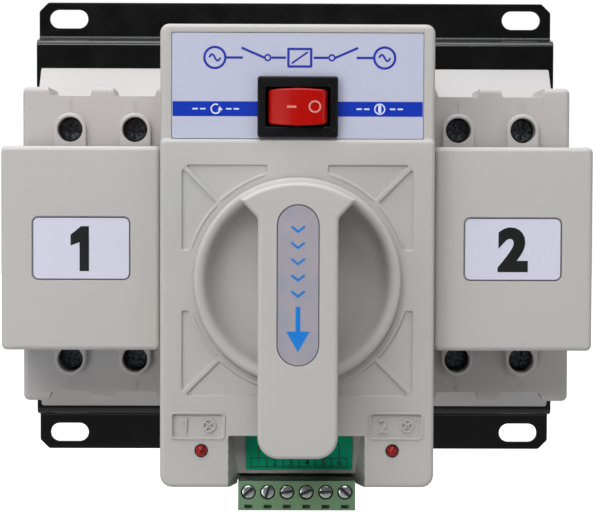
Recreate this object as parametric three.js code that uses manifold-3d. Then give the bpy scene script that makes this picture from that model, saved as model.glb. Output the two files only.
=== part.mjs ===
// Two-source transfer switch: two 2-pole breakers and a turning handle between them, on one steel base plate.
//
// Millimetres, +Z up, +X to the right, the front faces -Y. The origin is the centre of the four fixing slots, on
// the wall plane. "Depth" is the distance in front of the wall, so a point's y is minus its depth. Outlines that
// are seen from the front are drawn in x and z, and slab() gives them their depths.
import * as THREE from "three";
import { ConvexGeometry } from "three/addons/geometries/ConvexGeometry.js";
import { mergeVertices } from "three/addons/utils/BufferGeometryUtils.js";
import Module from "manifold-3d";

const wasm = await Module();
wasm.setup();

// ---------------------------------------------------------------- driving dimensions
const GAP = 0.3; // between neighbours that would touch
const WALL = 2; // moulded wall thickness

const PLATE = { width: 153.6, height: 134.5, sheet: 1.6, deckDepth: 10, deckHalf: 54.6, bendHalf: 57.2 };
const SLOT = { x: 67.9, z: 62.3, length: 11.4, width: 5.5, chamfer: 2.6 };

const POLE = 17.8; // pole pitch of the breakers
const BREAKER = { x: 3 * POLE, z: -3, half: 22, back: PLATE.deckDepth + GAP, seam: 44, shoulder: 60, nose: 74 };
const BREAKER_H = { ledge: 50.4, body: 43.35, nose: 22.5 }; // half heights about BREAKER.z
const TERMINAL = { z: 31.65, hole: 3.33, arch: 4.4, archDepth: 61.8, head: 3.1, headDepth: 57, shank: 2 };
const CLAMP = { halfX: 4.6, halfZ: 4.5, back: 30, front: 43.4, windowX: 3.3, windowBack: 32.4, windowFront: 40.2 };

const COVER = { half: 36.05, top: 56.1, bottom: -65.8, back: 60.6, front: 92, step: 26.1, upperFront: 90.6 };
const REAR_CASE = { half: 31, halfZ: 54, front: 60.3 };
const KNOB_Z = BREAKER.z - 8.1; // height of the handle's axis
const KNOB = { rim: 27.15, cup: 24.4, hole: 25.2, cupBack: 84, floor: 86, rimBack: 92.4, crest: 95 };
const LEVER = { half: 10.2, reach: 44.2, corner: 5, back: 96, front: 114, flareX: 14.5, flareZ: 21.6, neckZ: 17.2 };
const LEVER_LABEL = { half: 5.25, halfLength: 20.4, recess: 0.8, thickness: 0.5 };

const WING = { inner: COVER.half + GAP, outer: 78.4, half: 27.05, back: 63, front: 86 };
const TAG = { x: 57.2, width: 25.8, height: 16.6, recess: 0.7, thickness: 0.55, corner: 1.6 };
const PANEL = { half: 33.3, bottom: 26.8, top: 54.3, thickness: 0.4, recess: 0.6 };
const ROCKER = { z: 34.4, bezelX: 10.55, bezelZ: 8.05, bodyX: 9.5, bodyZ: 6.4, cavityX: 8.3, cavityZ: 5.2 };
const ROCKER_PIVOT = 90.5; // depth of the rocker's pivot
const ROCKER_TILT = THREE.MathUtils.degToRad(12);

const LAMP = { x: 25.15, z: -56, r: 1.5, hole: 1.7, front: 93.4 };
const MARK = { x: 26.1, z: -49.4, width: 13.5, height: 6.3, depth: 0.7 };
const BAY = { frontHalf: 18, floorHalf: 15.6, frontTop: -51.2, floorTop: -52.8, floor: 82, bottom: -63.4 };
const BLOCK = { half: 15.4, top: -63.7, bottom: -71.5, back: 79.9, front: 94, pitch: 5.08, screwZ: -66.7 };
const BOARD = { half: 30, top: -40, bottom: -62.6, tongue: 15, tongueBottom: -70.6, back: 78, front: 79.6 };

const TOGGLE = { pivotDepth: 66, drum: 7, reach: 15, bar: 1.8, barHalf: 12, finger: 6, fingerX: POLE / 2 };
const SLIDER = { back: 76.4, front: 80.2, prongFront: 82.8, slot: 2.4, prong: 3, armHalf: 3 };
const SHAFT = { r: 4, bore: 4.3, back: 14, front: 83.5 };
const RACK_PINION = { teeth: 14, module: 1, addendum: 0.8, back: 76.4, front: 80.2 };
const RACK = { teeth: 9, addendum: 0.75, dedendum: 1.15, spine: 4 };
const DRIVE_GEAR = { teeth: 36, module: 1, addendum: 0.8, back: 46, front: 51 };
const MOTOR_GEAR = { teeth: 15, module: 1, addendum: 0.8, back: 45.5, front: 51.5 };
const MOTOR_Z = KNOB_Z + (DRIVE_GEAR.teeth + MOTOR_GEAR.teeth) / 2; // on the pitch circles, module 1
const MOTOR = { r: 14, back: 14, front: 41, boss: 5, bossFront: 44.5, bore: 1.9, spindle: 1.5 };
const CARRIER = { half: 31, top: 15, bottom: -38, back: 72.2, front: 74.2, postX: 27, postR: 3.2 };
const PRESSURE_ANGLE = THREE.MathUtils.degToRad(20);
const BACKLASH = 0.12; // taken off each side of a tooth

// ---------------------------------------------------------------- materials
const finish = (color, roughness, metalness = 0) => new THREE.MeshStandardMaterial({ color, roughness, metalness });
const MATERIAL = {
  steelBlack: finish(0x15151a, 0.35, 0.2),
  housing: finish(0xcfccc8, 0.5),
  breaker: finish(0xc9c6c2, 0.55),
  darkPlastic: finish(0x1c1d20, 0.45),
  redPlastic: finish(0xc01818, 0.3),
  lampRed: finish(0xb01010, 0.15),
  panel: finish(0xc3c8e0, 0.35),
  tag: finish(0xe4e4ee, 0.3),
  silver: finish(0xa9a9b3, 0.4, 0.3),
  labelGreen: finish(0x12805a, 0.4),
  blockGreen: finish(0x76a27d, 0.5),
  zinc: finish(0xb9bcc0, 0.3, 0.9),
  screwDark: finish(0x4a4d52, 0.35, 0.9),
  brass: finish(0xc8a14a, 0.35, 0.9),
  steel: finish(0xa8abb0, 0.35, 0.9),
  nylon: finish(0xe8e6dc, 0.5),
  board: finish(0x1f6b3a, 0.5),
};

// ---------------------------------------------------------------- solids
// A closed three.js geometry as a manifold-3d solid.
function solid(geometry) {
  const bare = geometry.index ? geometry.toNonIndexed() : geometry.clone();
  bare.deleteAttribute("normal");
  bare.deleteAttribute("uv");
  const merged = mergeVertices(bare, 1e-4);
  return new wasm.Manifold(
    new wasm.Mesh({
      numProp: 3,
      vertProperties: new Float32Array(merged.attributes.position.array),
      triVerts: new Uint32Array(merged.index.array),
    }),
  );
}

const join = (...parts) => parts.flat().reduce((whole, part) => whole.add(part));
const cut = (whole, ...tools) => tools.flat().reduce((left, tool) => left.subtract(tool), whole);

// An outline in x and z, made solid from one depth to another.
function slab(shape, back, front, curveSegments = 7) {
  const geometry = new THREE.ExtrudeGeometry(shape, { depth: front - back, bevelEnabled: false, curveSegments });
  return solid(geometry.rotateX(Math.PI / 2).translate(0, -back, 0));
}

// An outline in y and z, made solid from one x to another.
function prism(shape, x0, x1) {
  const turn = new THREE.Matrix4().makeBasis(
    new THREE.Vector3(0, 1, 0),
    new THREE.Vector3(0, 0, 1),
    new THREE.Vector3(1, 0, 0),
  );
  const geometry = new THREE.ExtrudeGeometry(shape, { depth: x1 - x0, bevelEnabled: false });
  return solid(geometry.applyMatrix4(turn).translate(x0, 0, 0));
}

// A block between two x, two depths and two z.
function block(x0, x1, back, front, z0, z1) {
  const geometry = new THREE.BoxGeometry(x1 - x0, front - back, z1 - z0);
  return solid(geometry.translate((x0 + x1) / 2, -(back + front) / 2, (z0 + z1) / 2));
}

// A round bar along the depth, along x, or along z.
function barY(x, z, r, back, front, sides = 16) {
  const geometry = new THREE.CylinderGeometry(r, r, front - back, sides);
  return solid(geometry.translate(x, -(back + front) / 2, z));
}
function barX(x0, x1, depth, z, r, sides = 16) {
  const geometry = new THREE.CylinderGeometry(r, r, x1 - x0, sides).rotateZ(Math.PI / 2);
  return solid(geometry.translate((x0 + x1) / 2, -depth, z));
}

// A profile of [radius, depth] turned about the axis at x, z that runs along the depth.
function turned(x, z, profile, sides = 24) {
  const points = profile.map(([r, depth]) => new THREE.Vector2(r, -depth));
  return solid(new THREE.LatheGeometry(points, sides).translate(x, 0, z));
}

// ---------------------------------------------------------------- outlines
function polygon(points) {
  return new THREE.Shape(points.map(([x, z]) => new THREE.Vector2(x, z)));
}

function rounded(x0, x1, z0, z1, lowCorner, highCorner = lowCorner) {
  const shape = new THREE.Shape();
  shape.moveTo(x0 + lowCorner, z0);
  shape.lineTo(x1 - lowCorner, z0);
  shape.absarc(x1 - lowCorner, z0 + lowCorner, lowCorner, -Math.PI / 2, 0);
  shape.absarc(x1 - highCorner, z1 - highCorner, highCorner, 0, Math.PI / 2);
  shape.absarc(x0 + highCorner, z1 - highCorner, highCorner, Math.PI / 2, Math.PI);
  shape.absarc(x0 + lowCorner, z0 + lowCorner, lowCorner, Math.PI, 1.5 * Math.PI);
  return shape;
}

// Involute gear outline about 0, 0. phase turns it, as a share of one tooth.
function gearShape({ teeth, module, addendum }, phase = 0) {
  const pitch = (teeth * module) / 2;
  const base = pitch * Math.cos(PRESSURE_ANGLE);
  const tip = pitch + addendum * module;
  const root = pitch - 1.1 * module;
  const involute = (r) => {
    const roll = Math.sqrt(Math.max(0, (r / base) ** 2 - 1));
    return roll - Math.atan(roll);
  };
  const halfAtPitch = Math.PI / (2 * teeth) - BACKLASH / pitch;
  const half = (r) => halfAtPitch + involute(pitch) - involute(Math.max(r, base));
  const flank = [root, Math.max(base, root + 0.05), pitch, tip];
  const points = [];
  for (let tooth = 0; tooth < teeth; tooth++) {
    const middle = ((tooth + phase) * 2 * Math.PI) / teeth;
    const at = (r, angle) => points.push([r * Math.cos(middle + angle), r * Math.sin(middle + angle)]);
    flank.forEach((r) => at(r, -half(r)));
    flank.toReversed().forEach((r) => at(r, half(r)));
  }
  return polygon(points);
}

function gear(spec, x, z, bore, phase = 0) {
  const wheel = slab(gearShape(spec, phase), spec.back, spec.front).translate([x, 0, z]);
  return cut(wheel, barY(x, z, bore, spec.back - 1, spec.front + 1));
}

// ---------------------------------------------------------------- the scene graph
const root = new THREE.Group();
root.name = "transfer_switch";

function add(name, body, material) {
  const mesh = body.getMesh();
  const geometry = new THREE.BufferGeometry();
  geometry.setAttribute("position", new THREE.BufferAttribute(Float32Array.from(mesh.vertProperties), 3));
  geometry.setIndex(new THREE.BufferAttribute(Uint32Array.from(mesh.triVerts), 1));
  geometry.computeVertexNormals();
  const node = new THREE.Mesh(geometry, material);
  node.name = name;
  root.add(node);
}

// The two sources: the normal supply's breaker on the left and the reserve supply's on the right.
const SIDES = [
  { name: "normal", sign: -1 },
  { name: "reserve", sign: 1 },
];
const mirrored = (body, sign) => (sign < 0 ? body.mirror([1, 0, 0]) : body);

// ---------------------------------------------------------------- base plate
const DECK_SCREWS = [
  [0, 40],
  [0, -44],
  [-BREAKER.x, BREAKER.z],
  [BREAKER.x, BREAKER.z],
];

function basePlate() {
  const { width, height, sheet, deckDepth, deckHalf, bendHalf } = PLATE;
  const inside = 1.4; // how far the bends' inner faces lie towards the middle
  const front = [
    [sheet, height / 2],
    [sheet, bendHalf],
    [deckDepth, deckHalf],
  ];
  const back = [
    [deckDepth - sheet, deckHalf - inside],
    [0, bendHalf - inside],
    [0, height / 2],
  ];
  const half = (points, sign) => points.map(([depth, z]) => [-depth, sign * z]);
  const lowerFront = half(front, -1).toReversed();
  const lowerBack = half(back, -1).toReversed();
  const section = polygon([...half(front, 1), ...lowerFront, ...lowerBack, ...half(back, 1)]);
  const sheetMetal = prism(section, -width / 2, width / 2);
  const corners = [];
  const slots = [];
  for (const sx of [-1, 1]) {
    for (const sz of [-1, 1]) {
      const corner = [
        [(sx * width) / 2, (sz * height) / 2],
        [sx * (width / 2 - SLOT.chamfer), (sz * height) / 2],
        [(sx * width) / 2, sz * (height / 2 - SLOT.chamfer)],
      ].map(([x, z]) => [x + sx * 0.01, z + sz * 0.01]);
      corners.push(slab(polygon(corner), -1, sheet + 1));
      const end = SLOT.length / 2;
      const [x, z] = [sx * SLOT.x, sz * SLOT.z];
      const outline = rounded(x - end, x + end, z - SLOT.width / 2, z + SLOT.width / 2, SLOT.width / 2 - 0.001);
      slots.push(slab(outline, -1, sheet + 1, 4));
    }
  }
  const holes = DECK_SCREWS.map(([x, z]) => barY(x, z, 2.2, deckDepth - sheet - 1, deckDepth + 1));
  return cut(sheetMetal, corners, slots, holes);
}

function deckScrew(x, z) {
  const deckBack = PLATE.deckDepth - PLATE.sheet;
  const head = barY(x, z, 3.5, deckBack - GAP - 2.6, deckBack - GAP);
  const shank = barY(x, z, 1.9, deckBack - GAP - 0.1, 18.5, 16);
  return cut(join(head, shank), block(x - 4, x + 4, 4, 6.6, z - 0.5, z + 0.5));
}

// ---------------------------------------------------------------- breakers (drawn at +x, then mirrored)
const poleX = [BREAKER.x - POLE / 2, BREAKER.x + POLE / 2];
const TERMINALS = [1, -1].flatMap((up) => poleX.map((x) => ({ x, up })));

// Side view of the breaker between two depths, with its sloping ledge at the back.
function breakerOutline(back, front) {
  const slopeEnd = BREAKER.back + BREAKER_H.ledge - BREAKER_H.body;
  const edge = back < slopeEnd ? [[back, BREAKER_H.ledge], [slopeEnd, BREAKER_H.body]] : [[back, BREAKER_H.body]];
  const upper = [...edge, [front, BREAKER_H.body]];
  const points = upper.map(([depth, h]) => [-depth, BREAKER.z + h]);
  const lower = upper.toReversed().map(([depth, h]) => [-depth, BREAKER.z - h]);
  return polygon([...points, ...lower]);
}

// The shallow channel that guides a wire down an end face, with slanting sides.
function wireChannel({ x, up }) {
  const outer = BREAKER.z + up * (BREAKER_H.body + 1);
  const inner = BREAKER.z + up * (BREAKER_H.body - 2.4);
  const outline = polygon([
    [x - 6.4, outer],
    [x - 5.4, inner],
    [x + 5.4, inner],
    [x + 6.4, outer],
  ]);
  const back = BREAKER.back + BREAKER_H.ledge - BREAKER_H.body + 2;
  return slab(outline, back, BREAKER.shoulder + 1);
}

function breakerCase() {
  const { x, z, half, back, seam } = BREAKER;
  const body = prism(breakerOutline(back, seam), x - half, x + half);
  const chambers = [-1, 1].map((side) => {
    const edges = [x + side, x + side * (half - WALL)].sort((a, b) => a - b);
    return block(edges[0], edges[1], back + WALL + 6, seam + 1, z - 22, z + 22);
  });
  const pockets = TERMINALS.map(({ x: px, up }) => {
    const middle = z + up * TERMINAL.z;
    return block(px - 5.2, px + 5.2, CLAMP.back - 0.6, seam + 1, middle - 5.2, middle + 5.2);
  });
  const tunnels = TERMINALS.map(({ x: px, up }) => {
    const ends = [z + up * TERMINAL.z, z + up * (BREAKER_H.body + 4)].sort((a, b) => a - b);
    return block(px - CLAMP.windowX, px + CLAMP.windowX, CLAMP.windowBack, CLAMP.windowFront, ends[0], ends[1]);
  });
  const screwHole = barY(x, z, 2.1, back - 1, back + 9);
  return cut(body, chambers, pockets, tunnels, TERMINALS.map(wireChannel), screwHole);
}

// The raised arch round a terminal screw, which runs back to the nose.
function screwArch({ x, up }) {
  const middle = BREAKER.z + up * TERMINAL.z;
  const foot = BREAKER.z + up * (BREAKER_H.nose - 1);
  const shape = new THREE.Shape();
  shape.moveTo(x + up * TERMINAL.arch, foot);
  shape.lineTo(x + up * TERMINAL.arch, middle);
  const from = up > 0 ? 0 : Math.PI;
  shape.absarc(x, middle, TERMINAL.arch, from, from + Math.PI);
  shape.lineTo(x - up * TERMINAL.arch, foot);
  return slab(shape, BREAKER.shoulder - 1, TERMINAL.archDepth);
}

function breakerCover() {
  const { x, z, half, seam, shoulder, nose } = BREAKER;
  const back = seam + GAP;
  const deck = prism(breakerOutline(back, shoulder), x - half, x + half);
  const snout = block(x - half, x + half, back, nose, z - BREAKER_H.nose, z + BREAKER_H.nose);
  const { pivotDepth, drum, barHalf } = TOGGLE;
  const drumHalf = barHalf + 3.4;
  const cavity = [
    barX(x - drumHalf, x + drumHalf, pivotDepth, z, drum + 0.6, 24),
    block(x - drumHalf, x + drumHalf, back - 1, pivotDepth, z - drum - 0.6, z + drum + 0.6),
    block(x - drumHalf, x + drumHalf, pivotDepth, nose + 1, z - 12.6, z + 12.6),
    barX(x - drumHalf - 3.4, x + drumHalf + 3.4, pivotDepth, z, 2.3, 16),
  ];
  const chambers = [-1, 1].map((side) => {
    const edges = [x + side * (drumHalf + 1.6), x + side * (half - WALL)].sort((a, b) => a - b);
    return block(edges[0], edges[1], back - 1, 58, z - 20.5, z + 20.5);
  });
  const holes = TERMINALS.map(({ x: px, up }) =>
    barY(px, z + up * TERMINAL.z, TERMINAL.hole, back - 1, shoulder + 3),
  );
  const body = join(deck, snout, TERMINALS.map(screwArch));
  return cut(body, cavity, chambers, holes, TERMINALS.map(wireChannel));
}

function terminalScrew({ x, up }) {
  const z = BREAKER.z + up * TERMINAL.z;
  const { head, headDepth, shank } = TERMINAL;
  const whole = join(barY(x, z, head, 50, headDepth), barY(x, z, shank, 40.6, 50.1, 16));
  const cross = [
    block(x - 2.3, x + 2.3, headDepth - 1.8, headDepth + 1, z - 0.45, z + 0.45),
    block(x - 0.45, x + 0.45, headDepth - 1.8, headDepth + 1, z - 2.3, z + 2.3),
  ];
  return cut(whole, cross);
}

function terminalClamp({ x, up }) {
  const z = BREAKER.z + up * TERMINAL.z;
  const { halfX, halfZ, back, front, windowX, windowBack, windowFront } = CLAMP;
  const cage = block(x - halfX, x + halfX, back, front, z - halfZ, z + halfZ);
  const window = block(x - windowX, x + windowX, windowBack, windowFront, z - 9, z + 9);
  return cut(cage, window, barY(x, z, TERMINAL.shank + GAP, windowFront - 0.1, front + 1, 16));
}

// Two levers on one drum, tied by a bar, with a stub at each end to turn on.
function toggle() {
  const { x, z } = BREAKER;
  const { pivotDepth, drum, reach, bar, barHalf, finger, fingerX } = TOGGLE;
  const tip = pivotDepth + reach;
  const levers = [-1, 1].map((side) => {
    const middle = x + side * fingerX;
    return block(middle - finger / 2, middle + finger / 2, pivotDepth, tip, z - 1, z + 1);
  });
  const drumHalf = barHalf + 2.8;
  return join(
    barX(x - drumHalf, x + drumHalf, pivotDepth, z, drum - 0.4, 24),
    barX(x - drumHalf - 3, x + drumHalf + 3, pivotDepth, z, 2, 16),
    levers,
    barX(x - barHalf, x + barHalf, tip, z, bar, 16),
  );
}

// ---------------------------------------------------------------- wing covers
function tagOutline(clearance) {
  const { x, width, height, corner } = TAG;
  const [w, h] = [width / 2 + clearance, height / 2 + clearance];
  return rounded(x - w, x + w, BREAKER.z - h, BREAKER.z + h, corner);
}

function wingCover() {
  const { inner, outer, half, back, front } = WING;
  const z = BREAKER.z;
  const shell = slab(rounded(inner, outer, z - half, z + half, 1), back, front, 3);
  const inside = block(inner - 1, outer - WALL, back - 1, front - WALL, z - half + WALL, z + half - WALL);
  return cut(shell, inside, slab(tagOutline(GAP), front - TAG.recess, front + 1, 4));
}

const tag = () => slab(tagOutline(0), WING.front - TAG.recess + 0.05, WING.front - TAG.recess + TAG.thickness, 4);

// ---------------------------------------------------------------- controller housing
// The bay at the foot of the front cover that the terminal block stands in, grown by a wall thickness.
function bay(grow) {
  const { frontHalf, floorHalf, frontTop, floorTop, floor } = BAY;
  const over = 6; // how far the cutter runs past the front and the bottom
  const slope = (frontHalf - floorHalf) / (COVER.front - floor);
  const rise = (frontTop - floorTop) / (COVER.front - floor);
  const corners = [];
  for (const depth of [floor - grow, COVER.front + over]) {
    const halfWidth = floorHalf + slope * (depth - floor) + grow;
    const top = floorTop + rise * (depth - floor) + grow;
    for (const side of [-1, 1]) {
      corners.push(new THREE.Vector3(side * halfWidth, -depth, top));
      corners.push(new THREE.Vector3(side * halfWidth, -depth, COVER.bottom - over));
    }
  }
  return solid(new ConvexGeometry(corners));
}

// One of the eight shallow panels in the square round the handle, in the octant left of straight up.
function octantPanel() {
  const { square, ring, post, rib } = { square: 30.4, ring: 29.6, post: 8, rib: 0.6 };
  const diagonal = rib * Math.SQRT2;
  const postAngle = Math.asin(post / ring);
  const ribAngle = Math.PI / 4 - Math.asin(rib / ring);
  const shape = new THREE.Shape();
  shape.moveTo(-post, square);
  shape.lineTo(-square + diagonal, square);
  shape.absarc(0, 0, ring, Math.PI / 2 + ribAngle, Math.PI / 2 + postAngle, true);
  return slab(shape, COVER.front - 1, COVER.front + 1, 4);
}

function panelsRoundHandle() {
  const one = octantPanel();
  const pair = [one, one.mirror([1, 0, 0])];
  return pair.flatMap((panel) =>
    [0, 90, 180, 270].map((angle) => panel.rotate([0, angle, 0]).translate([0, 0, KNOB_Z])),
  );
}

function frontCover() {
  const { half, top, bottom, back, front, step, upperFront } = COVER;
  const outer = slab(rounded(-half, half, bottom, top, 3, 2.1), back, front, 4);
  const upperCut = block(-half - 1, half + 1, upperFront, front + 1, step, top + 1);
  const inside = block(-half + WALL, half - WALL, back - 1, front - WALL, bottom + WALL, top - WALL);
  const thinUpper = block(-half + WALL, half - WALL, upperFront - WALL, front, step - 2, top - WALL);
  const cavity = cut(inside, thinUpper, bay(WALL));
  const labelFloor = upperFront - PANEL.recess;
  const armHalf = SLIDER.armHalf + (RACK_PINION.teeth / 2) * (Math.PI / 2) + 0.8;
  const noseHalf = BREAKER_H.nose + 2 * GAP;
  const { z, nose } = BREAKER;
  return cut(
    outer,
    upperCut,
    cavity,
    bay(0),
    block(-PANEL.half - 0.2, PANEL.half + 0.2, labelFloor, front + 1, PANEL.bottom - 0.2, PANEL.top + 0.2),
    barY(0, KNOB_Z, KNOB.hole, front - WALL - 1, front + 1, 40),
    block(-ROCKER.bodyX - 0.3, ROCKER.bodyX + 0.3, 80, front, ROCKER.z - 6.7, ROCKER.z + 6.7),
    [-1, 1].map((side) => barY(side * LAMP.x, LAMP.z, LAMP.hole, front - WALL - 1, front + 1, 16)),
    [-1, 1].map((side) => markRecess(side * MARK.x)),
    panelsRoundHandle(),
    block(-half - 1, half + 1, nose - 1, SLIDER.front + 0.8, z - armHalf, z + armHalf),
    block(-half - 1, half + 1, back - 1, nose + 2 * GAP, z - noseHalf, z + noseHalf),
    block(-15.8, 15.8, BOARD.back - 1, front + 2, bottom - 1, BAY.bottom),
  );
}

function markRecess(x) {
  const { z, width, height, depth } = MARK;
  const outline = rounded(x - width / 2, x + width / 2, z - height / 2, z + height / 2, 0.8);
  return slab(outline, COVER.front - depth, COVER.front + 1, 3);
}

const CARRIER_POSTS = [-1, 1].flatMap((side) =>
  [CARRIER.top - 5, CARRIER.bottom + 5].map((z) => [side * CARRIER.postX, z]),
);

function rearCase() {
  const { half, halfZ, front } = REAR_CASE;
  const back = PLATE.deckDepth + GAP;
  const shell = block(-half, half, back, front, -halfZ, halfZ);
  const inside = block(-half + WALL, half - WALL, back + WALL, front + 1, -halfZ + WALL, halfZ - WALL);
  const floor = back + WALL - 0.1;
  const posts = CARRIER_POSTS.map(([x, z]) => barY(x, z, CARRIER.postR, floor, CARRIER.back - GAP, 16));
  const bearing = barY(0, KNOB_Z, 7, floor, 22);
  const screwPosts = DECK_SCREWS.slice(0, 2).map(([x, z]) => barY(x, z, 4.5, floor, 20, 16));
  const body = join(cut(shell, inside), posts, bearing, screwPosts);
  const screwHoles = DECK_SCREWS.slice(0, 2).map(([x, z]) => barY(x, z, 2.1, back - 1, 19, 16));
  return cut(body, screwHoles, barY(0, KNOB_Z, SHAFT.bore, SHAFT.back - 0.6, 23));
}

function labelPanel() {
  const back = COVER.upperFront - PANEL.recess + 0.05;
  const plate = block(-PANEL.half, PANEL.half, back, back + PANEL.thickness, PANEL.bottom, PANEL.top);
  return cut(plate, block(-ROCKER.bodyX - 0.3, ROCKER.bodyX + 0.3, 80, 95, ROCKER.z - 6.7, ROCKER.z + 6.7));
}

function lamp(x) {
  const { z, r, front } = LAMP;
  const profile = [
    [0, 84],
    [r + 0.4, 84],
    [r + 0.4, 85],
    [r, 85],
    [r, front - 1.2],
    [r * 0.87, front - 0.6],
    [r * 0.5, front - 0.15],
    [0, front],
  ];
  return turned(x, z, profile.toReversed(), 16);
}

// ---------------------------------------------------------------- rocker switch
function rockerCase() {
  const { z, bezelX, bezelZ, bodyX, bodyZ, cavityX, cavityZ } = ROCKER;
  const seat = COVER.upperFront - PANEL.recess + 0.05 + PANEL.thickness + 0.15;
  const bezel = slab(rounded(-bezelX, bezelX, z - bezelZ, z + bezelZ, 0.8), seat, seat + 2.2, 3);
  const body = block(-bodyX, bodyX, 74, seat + 0.1, z - bodyZ, z + bodyZ);
  const cavity = block(-cavityX, cavityX, 80, seat + 3, z - cavityZ, z + cavityZ);
  const tabs = [-5, 0, 5].map((x) => block(x - 0.4, x + 0.4, 66, 74.1, z - 2.4, z + 2.4));
  const pivots = [-1, 1].map((side) => rockerPin(z + side * (cavityZ + 0.4), 1.5));
  return cut(join(bezel, body, tabs), cavity, pivots);
}

// A short pin on the rocker's pivot, along z about the given height.
function rockerPin(z, r) {
  const geometry = new THREE.CylinderGeometry(r, r, 1.6, 12).rotateX(Math.PI / 2);
  return solid(geometry.translate(0, -ROCKER_PIVOT, z));
}

// The rocker is crowned along its length. It is drawn level, then tipped so that its left end is pressed in.
function rocker() {
  const { z, cavityZ } = ROCKER;
  const half = 7.6;
  const outline = [
    [-half, 91],
    [-half, 93.2],
    [-half / 2, 94.3],
    [0, 94.7],
    [half / 2, 94.3],
    [half, 93.2],
    [half, 91],
    [4.5, 85.5],
    [-4.5, 85.5],
  ];
  const shape = polygon(outline.map(([x, depth]) => [x, ROCKER_PIVOT - depth]));
  const height = 2 * (cavityZ - GAP);
  const geometry = new THREE.ExtrudeGeometry(shape, { depth: height, bevelEnabled: false });
  const body = solid(geometry.translate(0, -ROCKER_PIVOT, z - height / 2));
  const pins = [-1, 1].map((side) => rockerPin(z + side * (cavityZ - 0.3), 1.1));
  const turn = THREE.MathUtils.radToDeg(-ROCKER_TILT);
  return join(body, pins)
    .translate([0, ROCKER_PIVOT, 0])
    .rotate([0, 0, turn])
    .translate([0, -ROCKER_PIVOT, 0]);
}

// ---------------------------------------------------------------- handle
// Front view of the grip: a bar that flares into the rim's circle at the top and ends in a lever at the bottom.
function gripOutline() {
  const { half, reach, corner, flareX, flareZ, neckZ } = LEVER;
  const arc = Math.hypot(flareX, flareZ);
  const start = Math.atan2(flareZ, flareX);
  const shape = new THREE.Shape();
  shape.moveTo(half, neckZ);
  shape.lineTo(flareX, flareZ);
  shape.absarc(0, 0, arc, start, Math.PI - start);
  shape.lineTo(-half, neckZ);
  shape.lineTo(-half, -reach + corner);
  shape.absarc(-half + corner, -reach + corner, corner, Math.PI, 1.5 * Math.PI);
  shape.absarc(half - corner, -reach + corner, corner, 1.5 * Math.PI, 2 * Math.PI);
  return shape;
}

function leverLabelOutline(clearance) {
  const r = LEVER_LABEL.half + clearance;
  const straight = LEVER_LABEL.halfLength - LEVER_LABEL.half;
  const shape = new THREE.Shape();
  shape.absarc(0, straight, r, 0, Math.PI);
  shape.absarc(0, -straight, r, Math.PI, 2 * Math.PI);
  return shape;
}

function handle() {
  const { rim, cup, cupBack, floor, rimBack, crest } = KNOB;
  const dish = turned(0, 0, [
    [0, cupBack],
    [cup, cupBack],
    [cup, rimBack],
    [rim, rimBack],
    [rim, crest - 1],
    [rim - 0.5, crest - 0.2],
    [rim - 1.5, crest],
    [24.6, crest - 0.7],
    [23.2, 91.5],
    [21.9, 88],
    [20.8, 86.5],
    [19, floor],
    [0, floor],
  ].toReversed(), 40);
  const grip = gripOutline();
  const hub = turned(0, 0, [[0, 80.8], [7, 80.8], [7, cupBack + 0.1], [0, cupBack + 0.1]].toReversed(), 16);
  const upright = slab(grip, floor - 0.5, LEVER.back + 0.1).intersect(barY(0, 0, 22.4, 80, 120, 40));
  const onRim = slab(grip, crest - 2, LEVER.back + 0.1).intersect(barY(0, 0, rim - 1, 80, 120, 40));
  const body = join(dish, hub, upright, onRim, slab(grip, LEVER.back, LEVER.front));
  const labelSeat = slab(leverLabelOutline(0.2), LEVER.front - LEVER_LABEL.recess, LEVER.front + 1);
  return cut(body, labelSeat, barY(0, 0, SHAFT.bore, 79, SHAFT.front + GAP)).translate([0, 0, KNOB_Z]);
}

function leverLabel() {
  const back = LEVER.front - LEVER_LABEL.recess + 0.05;
  return slab(leverLabelOutline(0), back, back + LEVER_LABEL.thickness).translate([0, 0, KNOB_Z]);
}

// ---------------------------------------------------------------- drive
// Rack at +x, with its teeth towards the axis and in mesh with the pinion, and the arm and fork that hold a toggle.
function slider() {
  const { back, front, prongFront, slot, prong, armHalf } = SLIDER;
  const pitchX = (RACK_PINION.teeth * RACK_PINION.module) / 2;
  const pitch = Math.PI * RACK_PINION.module;
  const { addendum, dedendum, spine } = RACK;
  const slope = Math.tan(PRESSURE_ANGLE);
  const [tipX, rootX] = [pitchX - addendum, pitchX + dedendum];
  const halfAtTip = pitch / 4 - BACKLASH - addendum * slope;
  const halfAtRoot = pitch / 4 - BACKLASH + dedendum * slope;
  const span = (RACK.teeth + 1) * pitch;
  const outline = [[rootX + spine, span / 2], [rootX, span / 2]];
  for (let tooth = (RACK.teeth - 1) / 2; tooth >= -(RACK.teeth - 1) / 2; tooth--) {
    const z = tooth * pitch;
    outline.push([rootX, z + halfAtRoot], [tipX, z + halfAtTip], [tipX, z - halfAtTip], [rootX, z - halfAtRoot]);
  }
  outline.push([rootX, -span / 2], [rootX + spine, -span / 2]);
  const rack = slab(polygon(outline), back, front).translate([0, 0, KNOB_Z]);
  const { x, z } = BREAKER;
  const arm = block(rootX + spine - 0.5, x - TOGGLE.barHalf - 1, back, front, z - armHalf, z + armHalf);
  const fork = [
    block(x - TOGGLE.barHalf - 4, x - TOGGLE.barHalf - 1, back, prongFront, z - slot - prong, z + slot + prong),
    block(x - TOGGLE.barHalf - 4, x + TOGGLE.barHalf + 1, back, prongFront, z + slot, z + slot + prong),
    block(x - TOGGLE.barHalf - 4, x + TOGGLE.barHalf + 1, back, prongFront, z - slot - prong, z - slot),
  ];
  return join(rack, arm, fork);
}

function driveShaft() {
  return barY(0, KNOB_Z, SHAFT.r, SHAFT.back, SHAFT.front);
}

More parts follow.
